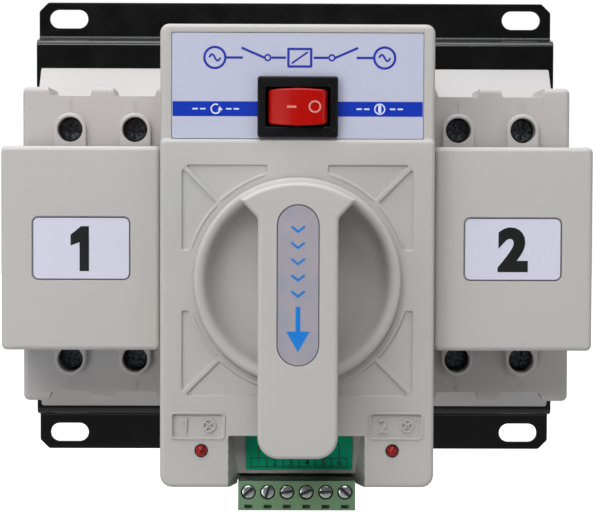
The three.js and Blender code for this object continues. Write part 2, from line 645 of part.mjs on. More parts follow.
function carrierPlate() {
  const { half, top, bottom, back, front } = CARRIER;
  const plate = slab(rounded(-half, half, bottom, top, 3), back, front, 3);
  return cut(plate, barY(0, KNOB_Z, SHAFT.bore, back - 1, front + 1));
}

function gearMotor() {
  const { r, back, front, boss, bossFront, bore } = MOTOR;
  const can = barY(0, MOTOR_Z, r, back, front, 32);
  const nose = barY(0, MOTOR_Z, boss, front - 0.1, bossFront);
  const foot = block(-17, 17, 36, 38, MOTOR_Z - 4, MOTOR_Z + 4);
  return cut(join(can, nose, foot), barY(0, MOTOR_Z, bore, 34, bossFront + 1, 16));
}

// Motor pinion with its spindle, turned half a tooth so that a gap faces the drive gear's tooth.
function motorPinion() {
  const towardsGear = 0.75; // a quarter turn below the x axis, in teeth
  const wheel = slab(gearShape(MOTOR_GEAR, towardsGear), MOTOR_GEAR.back, MOTOR_GEAR.front);
  return join(wheel.translate([0, 0, MOTOR_Z]), barY(0, MOTOR_Z, MOTOR.spindle, 35, MOTOR_GEAR.front - 0.1, 16));
}

function limitSwitch() {
  const body = block(11.5, 29, 75.6, 81.6, 20, 30);
  return join(body, block(13, 15, 77.4, 79.4, 11.4, 20.1));
}

// ---------------------------------------------------------------- terminal block
const blockX = [...Array(6).keys()].map((i) => (i - 2.5) * BLOCK.pitch);

function terminalBlock() {
  const { half, top, bottom, back, front, screwZ } = BLOCK;
  const body = block(-half, half, back, front, bottom, top);
  const step = block(-half - 1, half + 1, front - 0.8, front + 1, top - 0.8, top + 1);
  const wells = blockX.map((x) => barY(x, screwZ, 2, front - 4.2, front + 1, 20));
  const windows = blockX.map((x) => block(x - 1.05, x + 1.05, front - 2, front + 1, -70.35, -69.35));
  const entries = blockX.map((x) => block(x - 1.8, x + 1.8, 82, 85.8, bottom - 1, -66));
  return cut(body, step, wells, windows, entries);
}

function blockScrew(x, angle) {
  const { front, screwZ } = BLOCK;
  const head = join(barY(0, 0, 1.75, front - 2.6, front - 0.5, 20), barY(0, 0, 1.2, front - 4, front - 2.5, 12));
  const slotted = cut(head, block(-3, 3, front - 1.3, front + 1, -0.3, 0.3));
  return slotted.rotate([0, angle, 0]).translate([x, 0, screwZ]);
}

function terminalLabel() {
  const { floor, bottom, floorTop } = BAY;
  return block(-14.4, 14.4, floor + 0.05, floor + 0.3, bottom + 1, floorTop - 0.8);
}

function circuitBoard() {
  const { half, top, bottom, tongue, tongueBottom, back, front } = BOARD;
  const wide = block(-half, half, back, front, bottom, top);
  return join(wide, block(-tongue, tongue, back, front, tongueBottom, bottom + 0.1));
}

// ---------------------------------------------------------------- assembly
add("base_plate", basePlate(), MATERIAL.steelBlack);
DECK_SCREWS.forEach(([x, z], i) => add(`deck_screw_${i + 1}`, deckScrew(x, z), MATERIAL.zinc));

for (const { name, sign } of SIDES) {
  const put = (part, body, material) => add(`${name}_${part}`, mirrored(body, sign), material);
  put("breaker_case", breakerCase(), MATERIAL.breaker);
  put("breaker_cover", breakerCover(), MATERIAL.breaker);
  TERMINALS.forEach((terminal, i) => {
    put(`terminal_clamp_${i + 1}`, terminalClamp(terminal), MATERIAL.brass);
    put(`terminal_screw_${i + 1}`, terminalScrew(terminal), MATERIAL.screwDark);
  });
  put("toggle", toggle(), MATERIAL.darkPlastic);
  put("slider", slider(), MATERIAL.nylon);
  put("wing_cover", wingCover(), MATERIAL.housing);
  put("tag", tag(), MATERIAL.tag);
  put("lamp", lamp(LAMP.x), MATERIAL.lampRed);
  put("limit_switch", limitSwitch(), MATERIAL.darkPlastic);
}

add("rear_case", rearCase(), MATERIAL.housing);
add("front_cover", frontCover(), MATERIAL.housing);
add("label_panel", labelPanel(), MATERIAL.panel);
add("rocker_case", rockerCase(), MATERIAL.darkPlastic);
add("rocker", rocker(), MATERIAL.redPlastic);

add("handle", handle(), MATERIAL.housing);
add("handle_label", leverLabel(), MATERIAL.silver);
add("drive_shaft", driveShaft(), MATERIAL.steel);
add("rack_pinion", gear(RACK_PINION, 0, KNOB_Z, SHAFT.bore, 0.5), MATERIAL.nylon);
add("drive_gear", gear(DRIVE_GEAR, 0, KNOB_Z, SHAFT.bore), MATERIAL.nylon);
add("motor_pinion", motorPinion(), MATERIAL.brass);
add("gear_motor", gearMotor(), MATERIAL.steel);
add("carrier_plate", carrierPlate(), MATERIAL.steel);

add("circuit_board", circuitBoard(), MATERIAL.board);
add("terminal_block", terminalBlock(), MATERIAL.blockGreen);
const SCREW_ANGLES = [40, 75, 5, 25, -5, -40];
blockX.forEach((x, i) => add(`block_screw_${i + 1}`, blockScrew(x, SCREW_ANGLES[i]), MATERIAL.zinc));
add("terminal_label", terminalLabel(), MATERIAL.labelGreen);

export default root;
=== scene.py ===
"""Visual model of a two-source transfer switch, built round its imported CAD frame.

Lengths in the building code are millimetres, and a finished piece is scaled to metres. x runs to the
right and z up. "Depth" is the distance in front of the wall plane, so y is minus the depth. "up" is 1
for the upper half of a breaker and -1 for the lower half.
"""
import math

import bmesh
import bpy
from mathutils import Matrix, Vector


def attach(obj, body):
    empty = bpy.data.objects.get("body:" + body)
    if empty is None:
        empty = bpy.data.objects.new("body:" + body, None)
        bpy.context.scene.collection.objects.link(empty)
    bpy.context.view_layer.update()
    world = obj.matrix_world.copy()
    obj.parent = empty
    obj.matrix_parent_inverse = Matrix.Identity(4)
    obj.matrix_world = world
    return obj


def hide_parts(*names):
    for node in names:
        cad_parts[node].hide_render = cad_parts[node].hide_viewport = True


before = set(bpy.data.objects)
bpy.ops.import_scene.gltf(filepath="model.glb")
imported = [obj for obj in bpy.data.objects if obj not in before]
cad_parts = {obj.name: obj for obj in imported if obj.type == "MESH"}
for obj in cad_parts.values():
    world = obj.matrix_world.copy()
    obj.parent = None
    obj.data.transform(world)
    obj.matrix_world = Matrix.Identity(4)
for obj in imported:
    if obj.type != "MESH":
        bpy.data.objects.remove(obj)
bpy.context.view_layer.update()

MM = 0.001
scene = bpy.context.scene

# -------- sizes shared by several pieces
PLATE = {"half": 76.8, "top": 67.25, "half_sheet": 0.8, "deck": 9.2, "chamfer": 2.7}
SLOT = {"x": 67.9, "z": 62.3, "half_length": 5.7, "r": 2.75}
BREAKER_X, BREAKER_Z, POLE = 53.4, -3.0, 17.8
BREAKER_HALF, BREAKER_HIGH, LEDGE_HIGH = 22, 43.35, 50.4
CASE_BACK, CASE_FRONT, COVER_BACK, COVER_FRONT = 10.3, 44, 44.3, 60
KNOB_Z = -11.1
WING = {"inner": 36.35, "outer": 78.4, "half": 27.05, "back": 63.0, "front": 86.0, "wall": 2}
TAG = {"x": 57.2, "w": 12.9, "h": 8.3, "r": 1.6, "gap": 0.15}
COVER = {
    "half": 36.05, "top": 56.1, "bottom": -65.8, "back": 60.6,
    "front": 92.0, "upper": 90.6, "step": 26.1, "wall": 2,
}
BAY = {"front_half": 18, "floor_half": 15.6, "front_top": -52.1, "floor_top": -52.9, "floor": 82}
BAY_FOOT = -63.4
LABEL_DROP = 0.6  # the printed panel lies in a recess this deep
ROCKER_Z, ROCKER_HOLE = 34.4, (9.8, 6.7)
SCREW_Z = 31.65
LAMP = (25.15, -56.0)
MARK = (26.1, -49.4)
DECK_SCREWS = ((0, 40), (0, -44), (-BREAKER_X, BREAKER_Z), (BREAKER_X, BREAKER_Z))
RIVETS = (-38, -19, 13, 32)
PRINT = 0.02  # how deep a printed mark reaches into its sheet


# -------- outlines
def arc(cx, cz, r, start, end, n=8):
    """Points on an arc, from start to end in degrees."""
    steps = [math.radians(start + (end - start) * i / n) for i in range(n + 1)]
    return [(cx + r * math.cos(a), cz + r * math.sin(a)) for a in steps]


def rounded(x0, x1, z0, z1, low, high=None, n=8):
    high = low if high is None else high
    return (
        arc(x1 - low, z0 + low, low, -90, 0, n)
        + arc(x1 - high, z1 - high, high, 0, 90, n)
        + arc(x0 + high, z1 - high, high, 90, 180, n)
        + arc(x0 + low, z0 + low, low, 180, 270, n)
    )


def about(x, z, wide, high):
    """The four sides of a rectangle from its middle and its half sizes."""
    return x - wide, x + wide, z - high, z + high


def mitre(before, here, after):
    """The sideways step at a corner that moves both of its edges by one."""
    a, b = (here - before).normalized(), (after - here).normalized()
    na, nb = Vector((-a.y, a.x)), Vector((-b.y, b.x))
    return (na + nb) / max(1 + na.dot(nb), 0.3)


def inset(points, amount):
    """A counter-clockwise outline moved inwards, mitred at its corners."""
    if not amount:
        return list(points)
    path = [Vector(p) for p in points]
    around = [path[-1], *path, path[0]]
    return [tuple(p + mitre(*around[i : i + 3]) * amount) for i, p in enumerate(path)]


def round_corners(points, r, n=5):
    """A closed outline with every corner sharper than 25 degrees rounded."""
    out, count = [], len(points)
    for i, p in enumerate(points):
        p, before, after = Vector(p), Vector(points[i - 1]), Vector(points[(i + 1) % count])
        a, b = (before - p).normalized(), (after - p).normalized()
        inner = a.angle(b)
        if inner > math.radians(155):
            out.append(tuple(p))
            continue
        reach = min(r / math.tan(inner / 2), (before - p).length * 0.95, (after - p).length * 0.95)
        start, end = p + a * reach, p + b * reach
        for k in range(n + 1):
            t = k / n
            out.append(tuple(start * (1 - t) ** 2 + p * 2 * t * (1 - t) + end * t * t))
    return out


def stadium(cx, cz, half_length, r, n=16):
    """A slot outline with its long side along z."""
    straight = half_length - r
    return arc(cx, cz + straight, r, 0, 180, n) + arc(cx, cz - straight, r, 180, 360, n)


# -------- raw solids, in millimetres
def placed(name, data):
    obj = bpy.data.objects.new(name, data)
    scene.collection.objects.link(obj)
    return obj


def linked(bm):
    mesh = bpy.data.meshes.new("raw")
    bm.to_mesh(mesh)
    bm.free()
    return placed("raw", mesh)


def keep(bm):
    """Makes an object of a bmesh, with its faces turned outwards."""
    bmesh.ops.remove_doubles(bm, verts=bm.verts, dist=1e-5)
    bmesh.ops.recalc_face_normals(bm, faces=bm.faces)
    return linked(bm)


def stack(rings):
    """A closed solid through rings of points, one ring after the other."""
    bm = bmesh.new()
    rows = [[bm.verts.new(p) for p in ring] for ring in rings]
    count = len(rows[0])
    for a, b in zip(rows, rows[1:]):
        for i in range(count):
            j = (i + 1) % count
            bm.faces.new((a[i], a[j], b[j], b[i]))
    bm.faces.new(rows[0][::-1])
    bm.faces.new(rows[-1])
    return keep(bm)


def slab(outline, back, front, soft=0.0, soft_back=0.0, n=5):
    """An outline in x and z made solid between two depths, with rounded front and back edges."""
    quarter = [math.pi / 2 * i / n for i in range(n + 1)]
    layers = [(back, 0)]
    if soft_back:
        layers = [(back + soft_back * (1 - math.cos(a)), soft_back * (1 - math.sin(a))) for a in quarter]
    if soft:
        layers += [(front - soft * (1 - math.sin(a)), soft * (1 - math.cos(a))) for a in quarter]
    else:
        layers.append((front, 0))
    return stack([[(x, -d, z) for x, z in inset(outline, amount)] for d, amount in layers])


def prism(outline, x0, x1):
    """An outline in depth and z made solid between two x."""
    return stack([[(x, -d, z) for d, z in outline] for x in (x0, x1)])


def block(x0, x1, back, front, z0, z1):
    return prism([(back, z0), (front, z0), (front, z1), (back, z1)], x0, x1)


def bar_y(x, z, r, back, front, n=40):
    ring = arc(x, z, r, 0, 360 - 360 / n, n - 1)
    return stack([[(px, -d, pz) for px, pz in ring] for d in (back, front)])


def bar_x(x0, x1, depth, z, r, n=32):
    ring = arc(0, 0, r, 0, 360 - 360 / n, n - 1)
    return stack([[(x, -depth + a, z + b) for a, b in ring] for x in (x0, x1)])


def lathe(x, z, profile, n=72):
    """A profile of (radius, depth) turned about the axis at x, z along the depth."""
    bm = bmesh.new()
    rows = []
    for k in range(n):
        a = 2 * math.pi * k / n
        rows.append([bm.verts.new((x + r * math.cos(a), -d, z + r * math.sin(a))) for r, d in profile])
    for k in range(n):
        a, b = rows[k], rows[(k + 1) % n]
        for i in range(len(profile) - 1):
            bm.faces.new((a[i], a[i + 1], b[i + 1], b[i]))
    return keep(bm)


def band(outer, inner, back, front):
    """A flat band between two closed outlines with as many points each."""
    bm = bmesh.new()
    rings = ((outer, back), (outer, front), (inner, front), (inner, back))
    rows = [[bm.verts.new((x, -d, z)) for x, z in outline] for outline, d in rings]
    count = len(outer)
    for a, b in zip(rows, rows[1:] + rows[:1]):
        for i in range(count):
            j = (i + 1) % count
            bm.faces.new((a[i], a[j], b[j], b[i]))
    return keep(bm)


def bezier(p0, p1, p2, p3, n=8):
    points = []
    for i in range(1, n + 1):
        t = i / n
        w = ((1 - t) ** 3, 3 * t * (1 - t) ** 2, 3 * t * t * (1 - t), t**3)
        points.append(tuple(sum(k * p[j] for k, p in zip(w, (p0, p1, p2, p3))) for j in (0, 1)))
    return points


# -------- finishing
def bake(obj):
    """Applies an object's modifiers to its mesh."""
    evaluated = obj.evaluated_get(bpy.context.evaluated_depsgraph_get())
    mesh = bpy.data.meshes.new_from_object(evaluated)
    obj.modifiers.clear()
    obj.data = mesh
    return obj


def flat(items):
    for item in items:
        if isinstance(item, (list, tuple)):
            yield from flat(item)
        else:
            yield item


def carve(base, *cut, add=(), common=()):
    """Joins the solids in add to base, keeps what it shares with those in common, then cuts the rest."""
    tools = [("UNION", t) for t in flat(add)]
    tools += [("INTERSECT", t) for t in flat(common)]
    tools += [("DIFFERENCE", t) for t in flat(cut)]
    for operation, tool in tools:
        mod = base.modifiers.new("carve", "BOOLEAN")
        mod.solver = "MANIFOLD"
        mod.operation = operation
        mod.object = tool
    bake(base)
    for _, tool in tools:
        bpy.data.objects.remove(tool)
    return base


def soften(obj, width, segments=2, angle=42):
    """Merges the flat faces and rounds every edge sharper than the angle."""
    bm = bmesh.new()
    bm.from_mesh(obj.data)
    bmesh.ops.remove_doubles(bm, verts=bm.verts, dist=0.01)
    bmesh.ops.dissolve_limit(bm, angle_limit=math.radians(0.6), verts=bm.verts, edges=bm.edges)
    bmesh.ops.triangulate(bm, faces=[f for f in bm.faces if len(f.verts) > 4])
    bm.to_mesh(obj.data)
    bm.free()
    if width:
        mod = obj.modifiers.new("soft", "BEVEL")
        mod.width = width
        mod.segments = segments
        mod.limit_method = "ANGLE"
        mod.angle_limit = math.radians(angle)
        mod.use_clamp_overlap = False
        mod.loop_slide = False
        mod.miter_outer = "MITER_ARC"
        bake(obj)
    return obj


def piece(obj, name, material, replaces=(), smooth=32, body="switch_frame", slot=None):
    """Scales a solid to metres, shades it, and hangs it on its body.

    The slot argument is not used.
    """
    obj.name = obj.data.name = name
    obj.data.transform(Matrix.Scale(MM, 4))
    obj.data.shade_smooth()
    obj.data.set_sharp_from_angle(angle=math.radians(smooth))
    mod = obj.modifiers.new("normals", "WEIGHTED_NORMAL")
    mod.keep_sharp = True
    mod.weight = 80
    bake(obj)
    obj.data.materials.clear()
    obj.data.materials.append(material)
    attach(obj, body)
    slot = slot or material.name.split(".")[0]  # the CAD's own materials hold the plain names
    if replaces:
        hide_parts(*replaces)
    return obj


def merge(objs):
    """One object from several raw solids that don't touch."""
    bm = bmesh.new()
    for obj in flat(objs):
        bm.from_mesh(obj.data)
        bpy.data.objects.remove(obj)
    return linked(bm)


def turned(obj, x, z, spin):
    """A solid made round the y axis, turned by spin degrees and set at x, z."""
    obj.data.transform(Matrix.Translation((x, 0, z)) @ Matrix.Rotation(math.radians(spin), 4, "Y"))
    return obj


def mirror_x(obj, sign):
    if sign < 0:
        obj.data.transform(Matrix.Scale(-1, 4, (1, 0, 0)))
        obj.data.flip_normals()
    return obj


def numeral(text, x, z, height, back, front, bold=0.0):
    """A number as a solid, centred on x, z."""
    if text == "1":
        w, k = (0.105 if bold > 0.03 else 0.06), 0.07  # half the stem's width, and its offset
        flag = k - w - 0.2
        shape = [(k - w, -0.5), (k + w, -0.5), (k + w, 0.5), (k - w * 0.7, 0.5), (flag, 0.31)]
        shape += [(flag, 0.31 - 2.3 * w), (k - w, 0.5 - 3.4 * w)]
        return slab([(x + a * height, z + b * height) for a, b in shape], back, front)
    curve = bpy.data.curves.new("numeral", "FONT")
    curve.body = text
    curve.align_x = "CENTER"
    curve.size = 1.0
    curve.resolution_u = 5
    curve.offset = bold
    holder = placed("numeral", curve)
    flat_mesh = bpy.data.meshes.new_from_object(holder.evaluated_get(bpy.context.evaluated_depsgraph_get()))
    bpy.data.objects.remove(holder)
    bm = bmesh.new()
    bm.from_mesh(flat_mesh)
    bmesh.ops.remove_doubles(bm, verts=bm.verts, dist=1e-4)
    xs = [v.co.x for v in bm.verts]
    ys = [v.co.y for v in bm.verts]
    scale = height / (max(ys) - min(ys))
    cx, cy = (max(xs) + min(xs)) / 2, (max(ys) + min(ys)) / 2
    for v in bm.verts:
        v.co = Vector((x + (v.co.x - cx) * scale, -back, z + (v.co.y - cy) * scale))
    made = bmesh.ops.extrude_face_region(bm, geom=list(bm.faces))
    for v in made["geom"]:
        if isinstance(v, bmesh.types.BMVert):
            v.co.y = -front
    return keep(bm)


# -------- materials
class Nodes:
    """A short way to write a node tree round one Principled shader."""

    def __init__(self, name):
        self.material = bpy.data.materials.new(name)
        self.material.use_nodes = True
        self.tree = self.material.node_tree
        self.shader = self.tree.nodes["Principled BSDF"]
        self.place = self.add("ShaderNodeTexCoord").outputs["Object"]

    def add(self, kind, **settings):
        node = self.tree.nodes.new(kind)
        for key, value in settings.items():
            setattr(node, key, value)
        return node

    def link(self, a, b):
        self.tree.links.new(a, b)

    def noise(self, scale, detail=3.0, rough=0.55, stretch=None):
        node = self.add("ShaderNodeTexNoise")
        node.inputs["Scale"].default_value = scale
        node.inputs["Detail"].default_value = detail
        node.inputs["Roughness"].default_value = rough
        place = self.place
        if stretch:
            mapping = self.add("ShaderNodeMapping")
            mapping.inputs["Scale"].default_value = stretch
            self.link(place, mapping.inputs["Vector"])
            place = mapping.outputs["Vector"]
        self.link(place, node.inputs["Vector"])
        return node.outputs["Fac"]

    def ramp(self, value, low, high, start=0.0, end=1.0):
        node = self.add("ShaderNodeMapRange", clamp=True)
        for key, number in (("From Min", low), ("From Max", high), ("To Min", start), ("To Max", end)):
            node.inputs[key].default_value = number
        self.link(value, node.inputs["Value"])
        return node.outputs["Result"]

    def mix(self, factor, a, b):
        node = self.add("ShaderNodeMix", data_type="RGBA")
        self.link(factor, node.inputs["Factor"])
        for value, socket in ((a, node.inputs[6]), (b, node.inputs[7])):
            if isinstance(value, tuple):
                socket.default_value = (*value, 1)
            else:
                self.link(value, socket)
        return node.outputs[2]

    def bump(self, height, strength, distance):
        node = self.add("ShaderNodeBump")
        node.inputs["Strength"].default_value = strength
        node.inputs["Distance"].default_value = distance
        self.link(height, node.inputs["Height"])
        previous = self.shader.inputs["Normal"]
        if previous.is_linked:
            self.link(previous.links[0].from_socket, node.inputs["Normal"])
        self.link(node.outputs["Normal"], self.shader.inputs["Normal"])

    def color(self, value):
        self.link(value, self.shader.inputs["Base Color"])

    def rough(self, noise, low, high):
        self.link(self.ramp(noise, 0.3, 0.7, low, high), self.shader.inputs["Roughness"])

    def set(self, **values):
        for key, value in values.items():
            self.shader.inputs[key.replace("_", " ")].default_value = value


def shade(color, factor):
    return tuple(min(1.0, c * factor) for c in color)


def plastic(name, color, rough, drift=0.03, grain=2600, grain_depth=0.012, dust=0.0, specular=0.5):
    """Moulded plastic: a fine spark-eroded grain, slow drifts of tint and sheen, and a little dust."""
    n = Nodes(name)
    slow = n.ramp(n.noise(26, 2), 0.3, 0.7)
    warm = (color[0] * (1 + drift), color[1], color[2] * (1 - drift))
    cool = (color[0] * (1 - drift), color[1] * 1.004, color[2] * (1 + drift))
    tint = n.mix(slow, cool, warm)
    if dust:
        specks = n.ramp(n.noise(1500, 1, 0.4), 0.74, 0.78, 0, dust)
        tint = n.mix(specks, tint, (0.55, 0.53, 0.5))
    n.color(tint)
    n.rough(n.noise(90, 4), rough - 0.05, rough + 0.05)
    n.set(Specular_IOR_Level=specular)
    n.bump(n.noise(grain, 2, 0.6), 0.55, grain_depth * MM)
    n.bump(n.noise(60, 2), 0.3, 0.03 * MM)
    return n.material


def powder_coat(name):
    """Black gloss powder coat: orange peel, and a few light specks of dust."""
    n = Nodes(name)
    dusty = n.ramp(n.noise(620, 1, 0.4), 0.78, 0.8, 0, 0.25)
    n.color(n.mix(dusty, (0.0016, 0.0016, 0.002), (0.07, 0.07, 0.07)))
    n.rough(n.noise(140, 4), 0.16, 0.26)
    n.set(Coat_Weight=0.35, Coat_Roughness=0.12, Specular_IOR_Level=0.38)
    n.bump(n.noise(950, 2, 0.5), 0.35, 0.02 * MM)
    return n.material


def metal(name, color, rough, stretch=(1, 1, 14), tarnish=0.25):
    """Turned or rolled metal: fine drawn lines, with a darker tarnish in patches."""
    n = Nodes(name)
    patches = n.ramp(n.noise(420, 4, 0.6), 0.42, 0.7, 0, tarnish)
    n.color(n.mix(patches, color, shade(color, 0.45)))
    lines = n.noise(900, 3, 0.6, stretch)
    n.rough(lines, rough - 0.08, rough + 0.1)
    n.set(Metallic=1.0)
    n.bump(lines, 0.35, 0.01 * MM)
    return n.material


def printed(name, color, rough=0.35, mottle=0.02, coat=0.15, specular=0.5):
    """Printed sheet under a satin film: a faint halftone mottle and shallow waves."""
    n = Nodes(name)
    fine = n.ramp(n.noise(1800, 2, 0.6), 0.35, 0.65)
    n.color(n.mix(fine, shade(color, 1 - mottle), shade(color, 1 + mottle)))
    n.rough(n.noise(110, 3), rough - 0.05, rough + 0.06)
    n.set(Coat_Weight=coat, Coat_Roughness=0.25, Specular_IOR_Level=specular)
    n.bump(n.noise(75, 2), 0.25, 0.03 * MM)
    n.bump(n.noise(2200, 1), 0.2, 0.004 * MM)
    return n.material


def foil(name):
    """Silver-grey foil: drawn along its length, with pink and blue drifts."""
    n = Nodes(name)
    drift = n.ramp(n.noise(190, 3, 0.6), 0.35, 0.65)
    n.color(n.mix(drift, (0.36, 0.365, 0.44), (0.43, 0.385, 0.42)))
    lines = n.noise(2600, 2, 0.6, (1, 1, 0.05))
    n.rough(lines, 0.36, 0.5)
    n.set(Metallic=0.25)
    n.bump(lines, 0.25, 0.006 * MM)
    return n.material


M_HOUSING = plastic("housing_plastic", (0.475, 0.462, 0.448), 0.48, drift=0.018, dust=0.12)
M_BREAKER = plastic("breaker_plastic", (0.47, 0.452, 0.448), 0.5, drift=0.018, dust=0.12)
M_BLACK = powder_coat("powder_coat_black")
M_DARK = plastic("dark_plastic", (0.006, 0.006, 0.007), 0.27, 0.05, 1900, 0.006, dust=0.12, specular=0.25)
M_RED = plastic("red_plastic", (0.4, 0.003, 0.001), 0.26, 0.04, 1400, 0.003, specular=0.22)
M_BLOCK = plastic("block_green", (0.13, 0.235, 0.135), 0.42, drift=0.08, grain=1800, specular=0.35)
M_NYLON = plastic("nylon", (0.72, 0.70, 0.62), 0.5)
M_BOARD = plastic("circuit_board", (0.02, 0.14, 0.05), 0.35)
M_ZINC = metal("zinc_screw", (0.66, 0.69, 0.68), 0.26, tarnish=0.4)
M_SCREW = metal("dark_steel", (0.12, 0.13, 0.142), 0.24, stretch=(1, 14, 1), tarnish=0.6)
M_BRASS = metal("brass", (0.70, 0.5, 0.2), 0.3)
M_STEEL = metal("steel", (0.5, 0.51, 0.53), 0.32)
M_PANEL = printed("panel_print", (0.50, 0.52, 0.655), 0.4, 0.012)
M_TAG = printed("tag_plastic", (0.64, 0.635, 0.76), 0.35, 0.012)
M_LABEL = printed("green_label", (0.001, 0.4, 0.2), 0.4, 0.05, 0.0, 0.15)
M_FOIL = foil("silver_label")
M_INK_BLUE = printed("ink_blue", (0.012, 0.03, 0.36), 0.4, 0.05, 0.0, 0.3)
M_INK_STRIPE = printed("ink_stripe", (0.003, 0.032, 0.42), 0.38, 0.03, 0.0, 0.25)
M_INK_ARROW = printed("ink_arrow", (0.0, 0.19, 0.64), 0.38, 0.04)
M_INK_BLACK = printed("ink_black", (0.006, 0.006, 0.007), 0.35, 0.1)
M_INK_WHITE = printed("ink_white", (0.68, 0.72, 0.9), 0.4, 0.02)
M_INK_PALE = printed("ink_pale", (0.66, 0.25, 0.21), 0.4, 0.05)


def lens(name):
    """Red lamp lens: clear gloss over a deep red body."""
    n = Nodes(name)
    mottle = n.ramp(n.noise(700, 2), 0.35, 0.65)
    n.color(n.mix(mottle, (0.12, 0.001, 0.001), (0.36, 0.003, 0.001)))
    n.set(Roughness=0.12, Coat_Weight=0.15, Coat_Roughness=0.04, Specular_IOR_Level=0.3)
    return n.material


M_LENS = lens("lamp_red")


# -------- camera, floor and light
def camera():
    data = bpy.data.cameras.new("camera")
    data.sensor_fit = "HORIZONTAL"
    data.sensor_width = 36
    data.lens = 137.61
    data.clip_start, data.clip_end = 0.01, 100
    obj = placed("camera", data)
    pitch, yaw, roll = -0.0463, -0.0097, 0.0031
    turn = Matrix.Rotation(yaw, 4, "Z") @ Matrix.Rotation(math.pi / 2 + pitch, 4, "X")
    turn @= Matrix.Rotation(roll, 4, "Z")
    obj.matrix_world = Matrix.Translation((-0.005618, -0.689018, 0.022778)) @ turn
    scene.camera = obj


def area_light(name, place, target, size, power, color=(1, 1, 1)):
    data = bpy.data.lights.new(name, "AREA")
    data.shape = "RECTANGLE"
    data.size, data.size_y = size
    data.energy = power
    data.color = color
    obj = placed(name, data)
    obj.location = place
    obj.rotation_euler = (Vector(target) - Vector(place)).to_track_quat("-Z", "Y").to_euler()


def paper_floor():
    """White paper under the part; the part itself mirrors a darker, unlit floor."""
    bm = bmesh.new()
    bmesh.ops.create_grid(bm, x_segments=8, y_segments=8, size=9)
    floor = keep(bm)
    floor.name = "floor"
    floor.location = (0, 0, -0.5)
    n = Nodes("floor_paper")
    pale = n.mix(n.ramp(n.noise(3, 2), 0.3, 0.7), (0.86, 0.86, 0.86), (0.9, 0.9, 0.9))
    seen = n.add("ShaderNodeLightPath").outputs["Is Camera Ray"]
    n.color(n.mix(seen, (0.45, 0.45, 0.45), pale))
    reach = n.add("ShaderNodeVectorMath", operation="LENGTH")
    n.link(n.place, reach.inputs[0])
    lit = n.add("ShaderNodeMath", operation="MULTIPLY")
    n.link(n.ramp(reach.outputs["Value"], 1.3, 2.5, 0.0, 0.95), lit.inputs[0])
    n.link(seen, lit.inputs[1])
    n.link(lit.outputs["Value"], n.shader.inputs["Emission Strength"])
    n.set(Roughness=0.9, Specular_IOR_Level=0.2, Emission_Color=(1, 1, 1, 1))
    floor.data.materials.append(n.material)


def studio():
    """White to the camera; to the part, a pale wall behind it and a darker room in front."""
    world = bpy.data.worlds.new("studio")
    world.use_nodes = True
    add, link = world.node_tree.nodes.new, world.node_tree.links.new
    background = world.node_tree.nodes["Background"]
    path = add("ShaderNodeLightPath")
    place = add("ShaderNodeTexCoord")
    axes = add("ShaderNodeSeparateXYZ")
    link(place.outputs["Generated"], axes.inputs["Vector"])
    around = add("ShaderNodeMapRange")
    around.interpolation_type = "SMOOTHSTEP"
    for key, value in (("From Min", -0.35), ("From Max", 0.75), ("To Min", 0.09), ("To Max", 0.9)):
        around.inputs[key].default_value = value
    link(axes.outputs["Y"], around.inputs["Value"])
    strength = add("ShaderNodeMapRange")
    strength.inputs["To Max"].default_value = 1.05
    link(around.outputs["Result"], strength.inputs["To Min"])
    link(path.outputs["Is Camera Ray"], strength.inputs["Value"])
    link(strength.outputs["Result"], background.inputs["Strength"])
    background.inputs["Color"].default_value = (1, 1, 1, 1)
    scene.world = world
    scene.view_settings.view_transform = "Standard"
    scene.view_settings.look = "None"


def lights():
    aim = (0, -0.06, 0)
    area_light("top_softbox", (-0.1, -0.2, 0.95), (0, -0.04, 0), (1.2, 0.6), 9.8, (0.97, 0.98, 1.0))
    area_light("key_softbox", (-0.75, -0.85, 0.75), aim, (0.7, 0.6), 4.0)
    area_light("front_softbox", (-0.2, -1.15, 0.72), aim, (0.8, 0.4), 6.3)
    area_light("fill_softbox", (1.15, -0.95, 0.1), aim, (0.5, 0.8), 3.0)
    area_light("low_softbox", (-0.85, -0.95, -0.22), aim, (0.6, 0.5), 3.0)


camera()
paper_floor()
studio()
lights()


# -------- base plate
def fillet_path(points, radii, n=8):
    """An open path with its inner corners rounded."""
    path = [Vector(points[0])]
    for before, here, after, r in zip(points, points[1:], points[2:], radii):
        before, here, after = Vector(before), Vector(here), Vector(after)
        a, b = (before - here).normalized(), (after - here).normalized()
        half = a.angle(b) / 2
        reach = r / math.tan(half)
        centre = here + (a + b).normalized() * (r / math.sin(half))
        start, end = here + a * reach - centre, here + b * reach - centre
        sweep = start.angle_signed(end)
        for i in range(n + 1):
            path.append(centre + (Matrix.Rotation(-sweep * i / n, 2) @ start))
    path.append(Vector(points[-1]))
    return path


